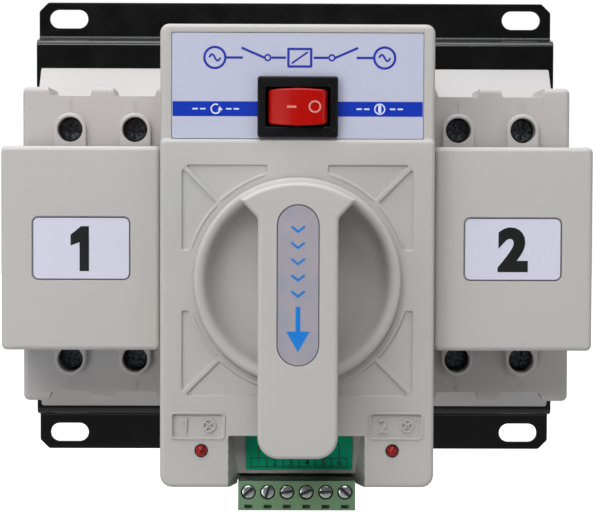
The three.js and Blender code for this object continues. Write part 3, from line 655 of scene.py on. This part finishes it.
def base_plate():
    half_sheet, half, top = PLATE["half_sheet"], PLATE["half"], PLATE["top"]
    profile = [(half_sheet, top), (half_sheet, 56.1), (PLATE["deck"], 54.8)]
    profile += [(d, -z) for d, z in profile[::-1]]
    path = fillet_path(profile, (1.2, 1.0, 1.0, 1.2))
    sides = ([], [])
    for i, p in enumerate(path):
        along = (path[min(i + 1, len(path) - 1)] - path[max(i - 1, 0)]).normalized()
        normal = Vector((-along.y, along.x))
        for side, sign in zip(sides, (1, -1)):
            side.append(tuple(p + normal * half_sheet * sign))
    plate = prism(sides[0] + sides[1][::-1], -half, half)
    low, inner = top - PLATE["chamfer"], half - PLATE["chamfer"]
    edge = round_corners([(half, 58), (half, low), (inner, top), (68, top)], 1.0)
    corner = [(half + 0.6, top + 0.65)] + edge[6:18][::-1]  # only the two ends of the chamfer
    cuts = []
    for sx in (-1, 1):
        for sz in (-1, 1):
            outline = [(sx * x, sz * z) for x, z in corner]
            cuts.append(slab(outline[::-1] if sx * sz > 0 else outline, -1, 3))
            slot = stadium(0, 0, SLOT["half_length"], SLOT["r"])
            slot = [(sx * SLOT["x"] + b, sz * SLOT["z"] + a) for a, b in slot]
            cuts.append(slab(slot[::-1], -1, 3))
    cuts += [bar_y(x, z, 2.2, 6, 12) for x, z in DECK_SCREWS]
    return soften(carve(plate, cuts), 0.22, 2)


piece(base_plate(), "plate", M_BLACK, ["base_plate"])


def deck_screws():
    """The screws through the plate, their crossed heads at the back."""
    profile = [(0, 18.4), (1.8, 18.4), (1.8, 8.1), (3.5, 8.1), (3.5, 7.0), (3.1, 6.1), (2.0, 5.6), (0, 5.5)]
    for i, (x, z) in enumerate(DECK_SCREWS):
        head = lathe(0, 0, profile, 32)
        carve(head, block(-4, 4, 5, 6.7, -0.5, 0.5), block(-0.5, 0.5, 5, 6.7, -4, 4))
        head = soften(turned(head, x, z, 20 + 31 * i), 0.08, 1)
        name = f"deck_screw_head_{i + 1}"
        piece(head, name, M_ZINC, [f"deck_screw_{i + 1}"])


deck_screws()

# -------- breakers, drawn at +x and mirrored
SIDES = (("normal", -1), ("reserve", 1))
POLES = (BREAKER_X - POLE / 2, BREAKER_X + POLE / 2)
TERMINALS = [(x, up, BREAKER_Z + up * SCREW_Z) for up in (1, -1) for x in POLES]


def case_side():
    """The side of the rear case: its ledges slope down from the plate."""
    slope = LEDGE_HIGH - BREAKER_HIGH
    upper = [(CASE_BACK, LEDGE_HIGH), (CASE_BACK + slope, BREAKER_HIGH), (CASE_FRONT, BREAKER_HIGH)]
    return [(d, BREAKER_Z + h) for d, h in upper] + [(d, BREAKER_Z - h) for d, h in upper[::-1]]


def channel(x, up):
    """A wire's way in over a terminal, flared towards the back."""
    outer, inner = BREAKER_Z + up * 44.4, BREAKER_Z + up * 40.95
    rings = []
    for depth, floor, grow in ((17.2, inner + up * 2.55, 1.7), (19.75, inner, 1.6), (61, inner, 0)):
        narrow, wide = 5.4 + (floor - inner) * up * 0.29 + grow, 6.4 + grow
        corners = [(x - wide, outer), (x - narrow, floor), (x + narrow, floor), (x + wide, outer)]
        rings.append([(a, -depth, b) for a, b in corners])
    return stack(rings)


def breaker_case():
    left, right = BREAKER_X - BREAKER_HALF, BREAKER_X + BREAKER_HALF
    body = prism(case_side(), left, right)
    cuts = [channel(x, up) for x, up, _ in TERMINALS]
    for x, up, z in TERMINALS:
        low, high = sorted((z, BREAKER_Z + up * 48))
        cuts.append(block(x - 5.2, x + 5.2, 29.4, 45, z - 5.2, z + 5.2))
        cuts.append(block(x - 3.3, x + 3.3, 32.4, 40.2, low, high))
    for z in RIVETS:  # wells in the outer side
        cuts.append(bar_x(right - 0.6, right + 1, 27, z + BREAKER_Z + 3, 2.6))
    body = carve(body, cuts)
    for z in RIVETS:
        carve(body, add=[bar_x(right - 1.0, right - 0.1, 27, z + BREAKER_Z + 3, 1.7)])
    return soften(body, 0.35, 2)


def arch(x, up, z, r, back, front, soft):
    """The raised boss round a screw hole, straight down to the cover's snout."""
    foot, start = BREAKER_Z + up * 21.5, 0 if up > 0 else 180
    outline = arc(x, z, r, start, start + 180, 24) + [(x - up * r, foot), (x + up * r, foot)]
    return slab(outline, back, front, soft)


def breaker_cover():
    front = COVER_FRONT
    face = rounded(*about(BREAKER_X, BREAKER_Z, BREAKER_HALF, BREAKER_HIGH), 1.6)
    body = slab(face, COVER_BACK, front, 1.4)
    snout = slab(rounded(*about(BREAKER_X, BREAKER_Z, BREAKER_HALF, 22.5), 0.8), 45, 74, 0.6)
    add = [snout] + [arch(*terminal, 4.5, front - 1, front + 1.8, 0.6) for terminal in TERMINALS]
    cuts = [channel(x, up) for x, up, _ in TERMINALS]
    cuts += [bar_y(x, z, 3.45, 43, 64, 48) for x, _, z in TERMINALS]
    x0, x1 = BREAKER_X - 15.4, BREAKER_X + 15.4  # the toggle's well
    cuts.append(bar_x(x0, x1, 66, BREAKER_Z, 7.6, 48))
    cuts.append(block(x0, x1, 44, 66, BREAKER_Z - 7.6, BREAKER_Z + 7.6))
    cuts.append(block(x0, x1, 66, 75, BREAKER_Z - 12.6, BREAKER_Z + 12.6))
    cuts.append(bar_x(BREAKER_X - 18.8, BREAKER_X + 18.8, 66, BREAKER_Z, 2.3))
    return soften(carve(body, cuts, add=add), 0.22, 2)


def cross_screw(x, z):
    """A deep-set terminal screw with a combined cross and slot."""
    profile = [(0, 41), (1.9, 41), (1.9, 54.6), (3.2, 54.6), (3.2, 56.5), (2.8, 57.0), (1.6, 57.3), (0, 57.4)]
    head = lathe(x, z, profile, 48)
    cuts = [turned(block(-2.5, 2.5, 55.0, 59, -0.45, 0.45), x, z, spin) for spin in (12, 102)]
    cuts += [turned(block(-2.1, 2.1, 56.7, 59, -0.14, 0.14), x, z, spin) for spin in (57, 147)]
    return soften(carve(head, cuts), 0.07, 1)


def breaker_numbers():
    """Small raised terminal numbers on the shoulder: odd above, even below."""
    back, front = COVER_FRONT - 0.1, COVER_FRONT + 0.16
    numbers = []
    for (x, up, _), number in zip(TERMINALS, "1324"):
        z = BREAKER_Z + (38.2 if up > 0 else -38.9)
        numbers.append(numeral(number, x, z, 2.6, back, front))
    return merge(numbers)


for name, sign in SIDES:
    for end, solid, node in (("rear", breaker_case, "case"), ("front", breaker_cover, "cover")):
        shell = mirror_x(solid(), sign)
        replaced = [f"{name}_breaker_{node}"]
        piece(shell, f"{name}_breaker_{end}", M_BREAKER, replaced)
    for i, (x, _, z) in enumerate(TERMINALS):
        screw = cross_screw(sign * x, z)
        replaced = [f"{name}_terminal_screw_{i + 1}"]
        piece(screw, f"{name}_wire_screw_{i + 1}", M_SCREW, replaced)
for name, shift in (("reserve", 0), ("normal", -2 * BREAKER_X)):
    numbers = breaker_numbers()
    numbers.data.transform(Matrix.Translation((shift, 0, 0)))
    piece(numbers, f"{name}_terminal_numbers", M_BREAKER, smooth=20)


# -------- wing covers and tags
TAG_TOP = WING["front"] - 0.12


def tag_outline(grow=0.0):
    sides = about(TAG["x"], BREAKER_Z, TAG["w"] + grow, TAG["h"] + grow)
    return rounded(*sides, TAG["r"] + grow)


def wing_cover():
    """A box open at the back and towards the front cover, with a shallow seat for its tag."""
    inner, outer, back, front, wall = (WING[key] for key in ("inner", "outer", "back", "front", "wall"))
    z0, z1 = BREAKER_Z - WING["half"], BREAKER_Z + WING["half"]
    body = slab(rounded(inner, outer, z0, z1, 1.5), back, front, 1.3, 0.4)
    inside = block(inner - wall, outer - wall, back - 1, front - wall, z0 + wall, z1 - wall)
    seat = slab(tag_outline(TAG["gap"]), front - 0.7, front + 1)
    return soften(carve(body, inside, seat), 0.22, 2)


def tag_plate():
    return slab(tag_outline(), WING["front"] - 0.65, TAG_TOP, 0.12, n=3)


def stroke(points, width, back, front, closed=False):
    """A printed line of even width along a path."""
    path = [Vector(p) for p in points]
    around = [path[0] * 2 - path[1], *path, path[-1] * 2 - path[-2]]
    if closed:
        around = [path[-1], *path, path[0]]
    steps = [mitre(*around[i : i + 3]) * (width / 2) for i in range(len(path))]
    left = [tuple(p + step) for p, step in zip(path, steps)]
    right = [tuple(p - step) for p, step in zip(path, steps)]
    if closed:
        return band(right, left, back, front)
    return slab(right + left[::-1], back, front)


def frame_line(x0, x1, z0, z1, r, width, back, front, n=6):
    """A printed line round a rounded rectangle."""
    outer = rounded(x0, x1, z0, z1, r, n=n)
    inner = rounded(x0 + width, x1 - width, z0 + width, z1 - width, max(r - width, 0.05), n=n)
    return band(outer, inner, back, front)


for (name, sign), digit in zip(SIDES, "12"):
    wing = mirror_x(wing_cover(), sign)
    piece(wing, f"{name}_wing", M_HOUSING, [f"{name}_wing_cover"])
    tag = mirror_x(tag_plate(), sign)
    piece(tag, f"{name}_tag_plate", M_TAG, [f"{name}_tag"])
    x, low = sign * TAG["x"], TAG_TOP - PRINT
    edge = about(x, BREAKER_Z, TAG["w"] - 0.05, TAG["h"] - 0.05)
    edge = frame_line(*edge, TAG["r"], 0.2, low, TAG_TOP + PRINT)
    piece(edge, f"{name}_tag_line", M_INK_BLACK, smooth=20, slot="tag_plastic")
    digit_solid = numeral(digit, x, BREAKER_Z - 0.1, 11.9, low, TAG_TOP + 0.03, 0.055)
    piece(digit_solid, f"{name}_tag_digit", M_INK_BLACK, smooth=20, slot="tag_plastic")


# -------- front cover
def bay(grow=0.0):
    """The bay for the terminal block: it widens towards the front. Its walls move out by grow."""
    foot, wall_high, lean_most = -74, 10.6, 1.7
    deep = COVER["front"] - BAY["floor"]
    slope = (BAY["front_half"] - BAY["floor_half"]) / deep
    rise = (BAY["front_top"] - BAY["floor_top"]) / deep
    rings = []
    for depth in (BAY["floor"] - grow, 98):
        half = BAY["floor_half"] + slope * (depth - BAY["floor"]) + grow
        top = BAY["floor_top"] + rise * (depth - BAY["floor"]) + grow
        lean = lean_most * (COVER["front"] - depth) / deep
        heights = [foot + (top - foot) * i / 8 for i in range(9)]
        right = [(half + lean * (z - BAY_FOOT) / wall_high, z) for z in heights]
        rings.append([(x, -depth, z) for x, z in right] + [(-x, -depth, z) for x, z in right[::-1]])
    return stack(rings)


OCTANT_FLOOR, MARK_FLOOR = COVER["front"] - 0.7, COVER["front"] - 0.65


def octant():
    """One shallow panel of the square round the handle."""
    ring, square, post, rib = 29.5, 30.3, 8.0, 0.6
    diagonal = rib * math.sqrt(2)
    start = 90 + math.degrees(math.asin(post / ring))
    end = 135 - math.degrees(math.asin(rib / ring))
    points = [(-post, square), (-square + diagonal, square)] + arc(0, 0, ring, end, start, 9)
    return round_corners(points, 0.5)


def octant_cutters():
    cutters = []
    for mirror in (1, -1):
        points = [(mirror * x, z) for x, z in octant()[::mirror]]
        for _ in range(4):
            cutters.append(slab([(x, KNOB_Z + z) for x, z in points], OCTANT_FLOOR, 93))
            points = [(-z, x) for x, z in points]
    return cutters


def mark_recess(x):
    return slab(rounded(*about(x, MARK[1], 6.75, 3.15), 0.8, n=5), MARK_FLOOR, 95)


def front_cover():
    c, wall = COVER, COVER["wall"]
    half, top, bottom, hollow = c["half"], c["top"], c["bottom"], c["back"] - 1
    lower = slab(rounded(-half, half, bottom, c["step"], 3.2, 1.5), c["back"], c["front"], 1.2, 0.3)
    upper = slab(rounded(-half, half, c["step"] - 14, top, 1.5, 2.4), c["back"], c["upper"], 1.1, 0.3)
    body = carve(lower, add=[upper])
    inside = block(wall - half, half - wall, hollow, c["front"] - wall, bottom + wall, top - wall)
    step = block(-half, half, c["upper"] - wall, 99, c["step"] - wall, top + 1)
    carve(inside, step, bay(wall))
    wide, high = ROCKER_HOLE
    carve(
        body,
        inside,
        bay(),
        slab(rounded(-33.1, 33.1, 25.95, 53.9, 0.5), c["upper"] - LABEL_DROP, 95),
        bar_y(0, KNOB_Z, 25.2, 80, 95, 96),  # the hole for the handle's dish
        block(-wide, wide, 80, 92, ROCKER_Z - high, ROCKER_Z + high),
        [bar_y(x, LAMP[1], 1.72, 85, 95, 32) for x in (-LAMP[0], LAMP[0])],
        [mark_recess(x) for x in (-MARK[0], MARK[0])],
        octant_cutters(),
        block(-half - 1, half + 1, 73, 81, -17.8, 11.8),  # the sliders' way through the sides
        block(-half - 1, half + 1, hollow, 74.6, BREAKER_Z - 23.1, BREAKER_Z + 23.1),  # room for the snouts
        block(-15.8, 15.8, 77, 96, bottom - 1, BAY_FOOT),
    )
    return soften(body, 0.24, 2)


piece(front_cover(), "controller_cover", M_HOUSING, ["front_cover"])


def octant_beads():
    """The fine raised bead along the ring side of each shallow panel."""
    radius, width, front = 29.0, 0.62, COVER["front"]
    beads = []
    for turn in range(4):
        for start, end in ((17.5, 43.2), (46.8, 72.5)):
            path = arc(0, KNOB_Z, radius, 90 * turn + start, 90 * turn + end, 16)
            beads.append(stroke(path, width, front - 0.1, front + 0.2))
    return soften(merge(beads), 0.14, 2, 50)


def mark_rims():
    """The raised bead round each marking recess, and the number and lamp symbol in it."""
    solids = []
    z, floor, level = MARK[1], MARK_FLOOR - 0.05, COVER["front"] - 0.1
    for (_, sx), digit in zip(SIDES, "12"):
        x = sx * MARK[0]
        lamp = x + 3.0
        solids.append(frame_line(*about(x, z, 7.25, 3.65), 1.2, 0.55, level, level + 0.42))
        solids.append(numeral(digit, x - 3.3, z, 3.8, floor, level, 0.02))
        solids.append(frame_line(*about(lamp, z, 1.8, 1.8), 1.79, 0.45, floor, 91.85, 8))
        for spin in (45, 135):
            solids.append(turned(block(-1.5, 1.5, floor, 91.83, -0.22, 0.22), lamp, z, spin))
    return soften(merge(solids), 0.09, 2, 50)


piece(octant_beads(), "cover_beads", M_HOUSING)
piece(mark_rims(), "cover_marks", M_HOUSING)


def lamps():
    """Two lenses, each with a wider foot and a domed tip."""
    r, shoulder = 1.5, COVER["front"] - 0.1
    profile = [(0, 84), (1.9, 84), (1.9, 85), (r, 85)]
    profile += arc(0, shoulder, r, 0, 90)[:-1] + [(0, shoulder + r)]
    for name, sx in SIDES:
        lamp = lathe(sx * LAMP[0], LAMP[1], profile, 40)
        piece(lamp, f"{name}_lamp_lens", M_LENS, [f"{name}_lamp"])


lamps()


# -------- printed panel
def ring(cx, cz, r, width, back, front, n=36):
    return stroke(arc(cx, cz, r, 0, 360 - 360 / n, n - 1), width, back, front, closed=True)


PANEL_THICK = 0.4
PANEL_TOP = COVER["upper"] - LABEL_DROP + 0.05 + PANEL_THICK


def panel():
    """The printed panel over the rocker: its sheet, a stripe, a diagram and two icons."""
    wide, high = ROCKER_HOLE
    plate = slab(rounded(-32.95, 32.95, 26.12, 53.75, 0.5), PANEL_TOP - PANEL_THICK, PANEL_TOP, 0.1, n=2)
    carve(plate, block(-wide, wide, 80, 95, ROCKER_Z - high, ROCKER_Z + high))
    piece(plate, "panel_sheet", M_PANEL, ["label_panel"])
    back, front = PANEL_TOP - PRINT, PANEL_TOP + 0.025
    bars = [block(a, b, back, front, 31.95, 35.85) for a, b in ((-32.8, -10.3), (10.3, 32.8))]
    piece(merge(bars), "panel_stripe", M_INK_STRIPE, smooth=20, slot="panel_print")
    ink = changeover_diagram(-24.5, 25.5, 47.3, back, front)
    piece(ink, "panel_diagram", M_INK_BLUE, smooth=20, slot="panel_print")
    over, icon_x, icon_z = (front - 0.01, front + 0.02), 21.5, 33.9
    icons = [turning_arrow(-icon_x, icon_z, *over), knob_icon(icon_x, icon_z, *over)]
    piece(merge(icons), "panel_icons", M_INK_WHITE, smooth=20, slot="panel_print")


def sine(cx, cz, half, height, n=14):
    return [(cx - half + 2 * half * i / n, cz + height * math.sin(2 * math.pi * i / n)) for i in range(n + 1)]


def changeover_diagram(x0, x1, z, back, front):
    """A one-line diagram of two sources that can each feed the load between them."""
    middle, w, r = (x0 + x1) / 2, 0.62, 2.75
    solids = []
    for side, end in ((-1, x0 + r), (1, x1 - r)):
        solids.append(ring(end, z, r, w, back, front))
        solids.append(stroke(sine(end, z, 1.5, 0.85), 0.5, back, front))
        lead = end - side * (r + w / 2)
        contact = end - side * (r + 4.6)
        hinge = contact - side * 5.6
        solids.append(stroke(sorted([(lead, z), (contact, z)]), w, back, front))
        solids.append(stroke(sorted([(hinge, z), (contact + side * 0.4, z + 2.6)]), w, back, front))
        solids.append(ring(hinge - side * 0.9, z, 0.75, 0.45, back, front, 20))
        solids.append(stroke(sorted([(hinge - side * 1.9, z), (middle + side * 3.6, z)]), w, back, front))
    solids.append(frame_line(*about(middle, z, 3.3, 2.6), 0.4, w, back, front, 4))
    solids.append(stroke([(middle - 2.1, z - 1.5), (middle + 2.1, z + 1.5)], 0.5, back, front))
    return merge(solids)


def dashes(x, z, back, front):
    """Two short dashes on each side of an icon."""
    return [block(x + dx - 0.7, x + dx + 0.7, back, front, z - 0.2, z + 0.2) for dx in (-5.4, -3.4, 3.4, 5.4)]


def turning_arrow(x, z, back, front):
    """A ring with an arrow head: the switch turns by itself."""
    turn = stroke(arc(x, z, 1.2, 60, 340, 24), 0.36, back, front)
    head = slab([(x + 0.55, z - 0.45), (x + 1.85, z - 0.3), (x + 1.0, z + 0.75)], back, front)
    return merge([turn, head, dashes(x, z, back, front)])


def knob_icon(x, z, back, front):
    """A knob with a bar grip: the switch is turned by hand."""
    knob = ring(x, z, 1.3, 0.34, back, front, 28)
    grip = slab(rounded(*about(x, z, 0.4, 1.0), 0.2, n=3), back, front)
    return merge([knob, grip, dashes(x, z, back, front)])


panel()

# -------- rocker switch
SEAT = PANEL_TOP + 0.15


def rocker_case():
    """The bezel, the body behind it and its three contact tabs."""
    bezel = slab(rounded(*about(0, ROCKER_Z, 10.55, 8.05), 0.8), SEAT, SEAT + 2.2, 0.45, n=4)
    body = block(-9.5, 9.5, 74, SEAT + 0.4, ROCKER_Z - 6.4, ROCKER_Z + 6.4)
    tabs = [block(x - 0.4, x + 0.4, 66, 74.3, ROCKER_Z - 2.4, ROCKER_Z + 2.4) for x in (-5, 0, 5)]
    cavity = slab(rounded(*about(0, ROCKER_Z, 8.5, 5.25), 0.5, n=4), 80, 96)
    return soften(carve(bezel, cavity, add=[body, tabs]), 0.16, 2)


piece(rocker_case(), "rocker_bezel", M_DARK, ["rocker_case"])

ROCKER_HALF, PIVOT = 7.6, 90.5
TIP = Matrix.Translation((0, -PIVOT, 0)) @ Matrix.Rotation(math.radians(-12), 4, "Z")
TIP @= Matrix.Translation((0, PIVOT, 0))


def crown(x):
    """Depth of the rocker's face, level, at x."""
    t = x / ROCKER_HALF
    return 94.75 - 1.15 * t * t


def rocker():
    """The button with its pivot pins, made level and then tipped."""
    rings, steps, soft = [], 28, 0.45
    shallow, deep = 91.0, 86.0
    for i in range(steps + 1):
        t = -1 + 2 * i / steps
        x = 0.35 + ROCKER_HALF * t
        end = min(1.0, (1 - abs(t)) * ROCKER_HALF / soft)
        pull = soft * (1 - math.sqrt(max(0.0, 1 - (1 - end) ** 2)))
        high, front = 4.85 - 0.42 * t * t - pull, crown(x) - pull
        back = max(deep, shallow - max(0.0, (ROCKER_HALF - abs(x)) * 1.7))
        points = [(-high, back), (high, back)]
        points += arc(high - soft, front - soft, soft, 0, 90, 4)
        points += arc(soft - high, front - soft, soft, 90, 180, 4)
        rings.append([(x, -d, ROCKER_Z + h) for h, d in points])
    pin = arc(0, -PIVOT, 1.1, 0, 345, 23)
    pins = [stack([[(x, y, ROCKER_Z + sz * z) for x, y in pin] for z in (4.2, 5.12)]) for sz in (-1, 1)]
    body = carve(stack(rings), add=pins)
    body.data.transform(TIP)
    return body


def on_crown(obj, lift):
    """Drapes a flat printed mark over the rocker's face."""
    bm = bmesh.new()
    bm.from_mesh(obj.data)
    bmesh.ops.subdivide_edges(bm, edges=bm.edges, cuts=1)
    for v in bm.verts:
        v.co.y = -(crown(v.co.x) + (lift if v.co.y < -0.5 else -0.03))
    bm.to_mesh(obj.data)
    bm.free()
    obj.data.transform(TIP)
    return obj


piece(rocker(), "rocker_button", M_RED, ["rocker"], 40, "rocker_button")
rocker_bar = block(-2.0, 0.5, 0, 1, ROCKER_Z - 0.25, ROCKER_Z + 0.3)
marks = merge([rocker_bar, ring(5.3, ROCKER_Z + 0.05, 1.4, 0.42, 0, 1)])
piece(on_crown(marks, 0.025), "rocker_marks", M_INK_PALE, (), 20, "rocker_button", "red_plastic")


# -------- handle
def grip_outline():
    """A long bar with a round lower end, flared at the top into a wide round head."""
    reach, half, corner = 44.2, 10.2, 5.4
    waist, flare = [(half, 16.4), (10.5, 17.3)], (14.6, 21.6)
    start = math.degrees(math.atan2(flare[1], flare[0]))
    points = waist + [flare]
    points += arc(0, 0, math.hypot(*flare), start, 180 - start, 28)[1:-1]
    points += [(-x, z) for x, z in [flare] + waist[::-1]]
    points += arc(corner - half, corner - reach, corner, 180, 270, 10)
    points += arc(half - corner, corner - reach, corner, 270, 360, 10)
    return points


def dish():
    """The round dish under the grip, with a raised rim and a hollow face."""
    profile = [(0, 84), (24.4, 84), (24.4, 92.4), (27.15, 92.4), (27.15, 93.8)]
    profile += bezier((27.15, 93.8), (27.15, 94.6), (26.7, 95), (26.0, 95), 6)
    profile += bezier((26.0, 95), (24.9, 95), (24.2, 94.4), (23.8, 92.9), 6)
    profile += bezier((23.8, 92.9), (22.9, 89.6), (22.2, 87.5), (18.6, 87.2), 12)
    profile += [(0, 87.2)]
    return lathe(0, 0, profile, 128)


def handle():
    """The lever, joined to the dish by a core and to its rim by a shallower link."""
    grip = grip_outline()
    lever = slab(grip, 96, 114, 1.0, 0.6, n=6)
    core = carve(slab(grip, 85.5, 97), common=[bar_y(0, 0, 22.6, 80, 120, 96)])
    rim_link = carve(slab(grip, 93.6, 97), common=[bar_y(0, 0, 26.2, 80, 120, 96)])
    hub, bore = bar_y(0, 0, 7, 80.8, 85, 48), bar_y(0, 0, 4.3, 79, 83.8)
    label_seat = slab(stadium(0, 0, 20.55, 5.4, 20), 113.2, 115)
    body = carve(dish(), label_seat, bore, add=[lever, core, rim_link, hub])
    body = soften(body, 0.16, 2, 38)
    body.data.transform(Matrix.Translation((0, 0, KNOB_Z)))
    return body


piece(handle(), "turning_handle", M_HOUSING, ["handle"], 36, "handle_rotor")


def handle_label():
    """The silver sheet on the grip: a border line, an arrow and five chevrons."""
    sheet = slab(stadium(0, KNOB_Z, 20.45, 5.3, 20), 113.25, 113.75, 0.08, n=2)
    piece(sheet, "handle_foil", M_FOIL, ["handle_label"], body="handle_rotor")
    back, front = 113.75 - PRINT, 113.79
    line = stroke(stadium(0, KNOB_Z, 20.36, 5.21, 20), 0.1, back, front, closed=True)
    piece(line, "handle_label_line", M_INK_BLACK, (), 20, "handle_rotor", "silver_label")
    tip, head, tail = KNOB_Z - 16.9, KNOB_Z - 11.7, KNOB_Z - 5.4
    arrow = [(0, tip), (3.0, head), (0.6, head), (0.6, tail), (-0.6, tail), (-0.6, head), (-3.0, head)]
    ink = [slab(arrow, back, front)]
    for i in range(5):
        z = KNOB_Z + 13.6 - 4.1 * i
        ink.append(stroke([(-1.7, z + 1.35), (0, z), (1.7, z + 1.35)], 0.55, back, front))
    piece(merge(ink), "handle_arrow", M_INK_ARROW, (), 20, "handle_rotor", "silver_label")


handle_label()

# -------- terminal block
PITCH = 5.08
BLOCK_X = [(i - 2.5) * PITCH for i in range(6)]
BLOCK_SCREW_Z = -66.7
BLOCK_SCREWS = list(zip(BLOCK_X, (-40, -70, -9, -25, -3, 40)))  # where each is, and how its slot is turned


def terminal_block():
    """The block with its screw holes, and under each one a test slit and a way in for a wire."""
    body = block(-15.4, 15.4, 79.9, 94, -71.5, -63.7)
    # the first cut is a shallow seat in the top for a dark sheet of painted shade
    cuts = [block(-15.2, 15.2, 80.3, 93.7, -64.0, -63)]
    for x in BLOCK_X:
        cuts.append(bar_y(x, BLOCK_SCREW_Z, 2.0, 89.8, 95, 32))
        cuts.append(block(x - 1.05, x + 1.05, 92.5, 95, -71.0, -70.0))
        cuts.append(block(x - 1.8, x + 1.8, 82, 85.8, -72.5, -66))
    for x in BLOCK_X[:-1]:
        groove = x + PITCH / 2
        cuts.append(block(groove - 0.25, groove + 0.25, 79, 91, -72, -71.1))
    return soften(carve(body, cuts), 0.1, 2)


def block_screw(x, spin):
    """A cheese-head screw, its slot turned by spin degrees."""
    r, tip, front, shank, edge, dome = 1.75, 90.0, 93.6, 1.2, 0.3, 0.12
    under = front - 2.1
    profile = [(0, tip), (shank, tip), (shank, under), (r, under), (r, front - edge - dome)]
    profile += [(r - edge * 0.3, front - edge * 0.3 - dome), (r - edge, front - dome)]
    profile += [(r * 0.55, front - dome * 0.3), (0, front)]
    slot = block(-r - 1, r + 1, front - 1.1, front + 1, -0.375, 0.375)
    return soften(turned(carve(lathe(0, 0, profile, 40), slot), x, BLOCK_SCREW_Z, spin), 0.06, 1, 50)


def slot_painted_shade():
    """Painted shade: dark bars at the floor of the block's screw slots, standing in for their shadow."""
    bars = [(block(-1.55, 1.55, 92.3, 92.65, -0.24, 0.24), x, spin) for x, spin in BLOCK_SCREWS]
    return merge([turned(bar, x, BLOCK_SCREW_Z, spin) for bar, x, spin in bars])


piece(terminal_block(), "block_body", M_BLOCK, ["terminal_block"])
# Painted shade: a thin dark sheet over the block's top face stands in for the shadow under the cover and the
# handle.
top_shade_sheet = soften(block(-15.15, 15.15, 80.35, 93.65, -64.1, -63.85), 0.05, 1)
piece(top_shade_sheet, "block_top_painted_shade", M_DARK)
for i, (x, spin) in enumerate(BLOCK_SCREWS):
    piece(block_screw(x, spin), f"block_screw_head_{i + 1}", M_ZINC, [f"block_screw_{i + 1}"])
# the dark bars in the screw slots are painted shade
piece(slot_painted_shade(), "block_slot_painted_shade", M_SCREW)


def terminal_label():
    """The green sheet over the block: six numbered cells, with a lead up from each end one."""
    x0, x1, z0, z1 = -13.5, 15.0, -62.3, -53.4
    top = BAY["floor"] + 0.3
    sheet = slab(rounded(x0, x1, z0, z1, 0.3, n=3), BAY["floor"] + 0.05, top)
    piece(sheet, "terminal_sheet", M_LABEL, ["terminal_label"])
    back, front = top - PRINT, top + 0.03
    start, cell, width, low, high, bend = -12.2, 4.3, 0.22, -61.7, -59.1, -55.6
    ink = []
    for i in range(6):
        left, right = start + cell * i, start + cell * (i + 1)
        edge = (left - width / 2, right + width / 2, low, high)
        ink.append(frame_line(*edge, 0.06, width, back, front + i * 0.002, 1))
        ink.append(numeral(str(i + 1), left + cell / 2, (low + high) / 2, 1.7, back, front, 0.01))
    for i, lean in ((0, 1.6), (5, -1.6)):
        x = start + cell * (i + 0.5)
        ink.append(stroke([(x, high), (x, bend)], width, back, front))
        ink.append(stroke([(x, bend), (x + lean, bend + 1.2)], width, back, front))
    piece(merge(ink), "terminal_sheet_ink", M_INK_BLACK, smooth=20, slot="green_label")


terminal_label()

# -------- carried-over CAD nodes
CARRIED = {
    "rear_case": M_HOUSING,
    "drive_shaft": M_STEEL,
    "rack_pinion": M_NYLON,
    "drive_gear": M_NYLON,
    "motor_pinion": M_BRASS,
    "gear_motor": M_STEEL,
    "carrier_plate": M_STEEL,
    "circuit_board": M_BOARD,
}
for side in ("normal", "reserve"):
    CARRIED[f"{side}_toggle"] = M_DARK
    CARRIED[f"{side}_slider"] = M_NYLON
    CARRIED[f"{side}_limit_switch"] = M_DARK
    for number in range(1, 5):
        CARRIED[f"{side}_terminal_clamp_{number}"] = M_BRASS
for node, material in CARRIED.items():
    obj = bpy.data.objects[node]
    for material_slot in obj.material_slots:
        material_slot.material = material

bpy.context.view_layer.update()
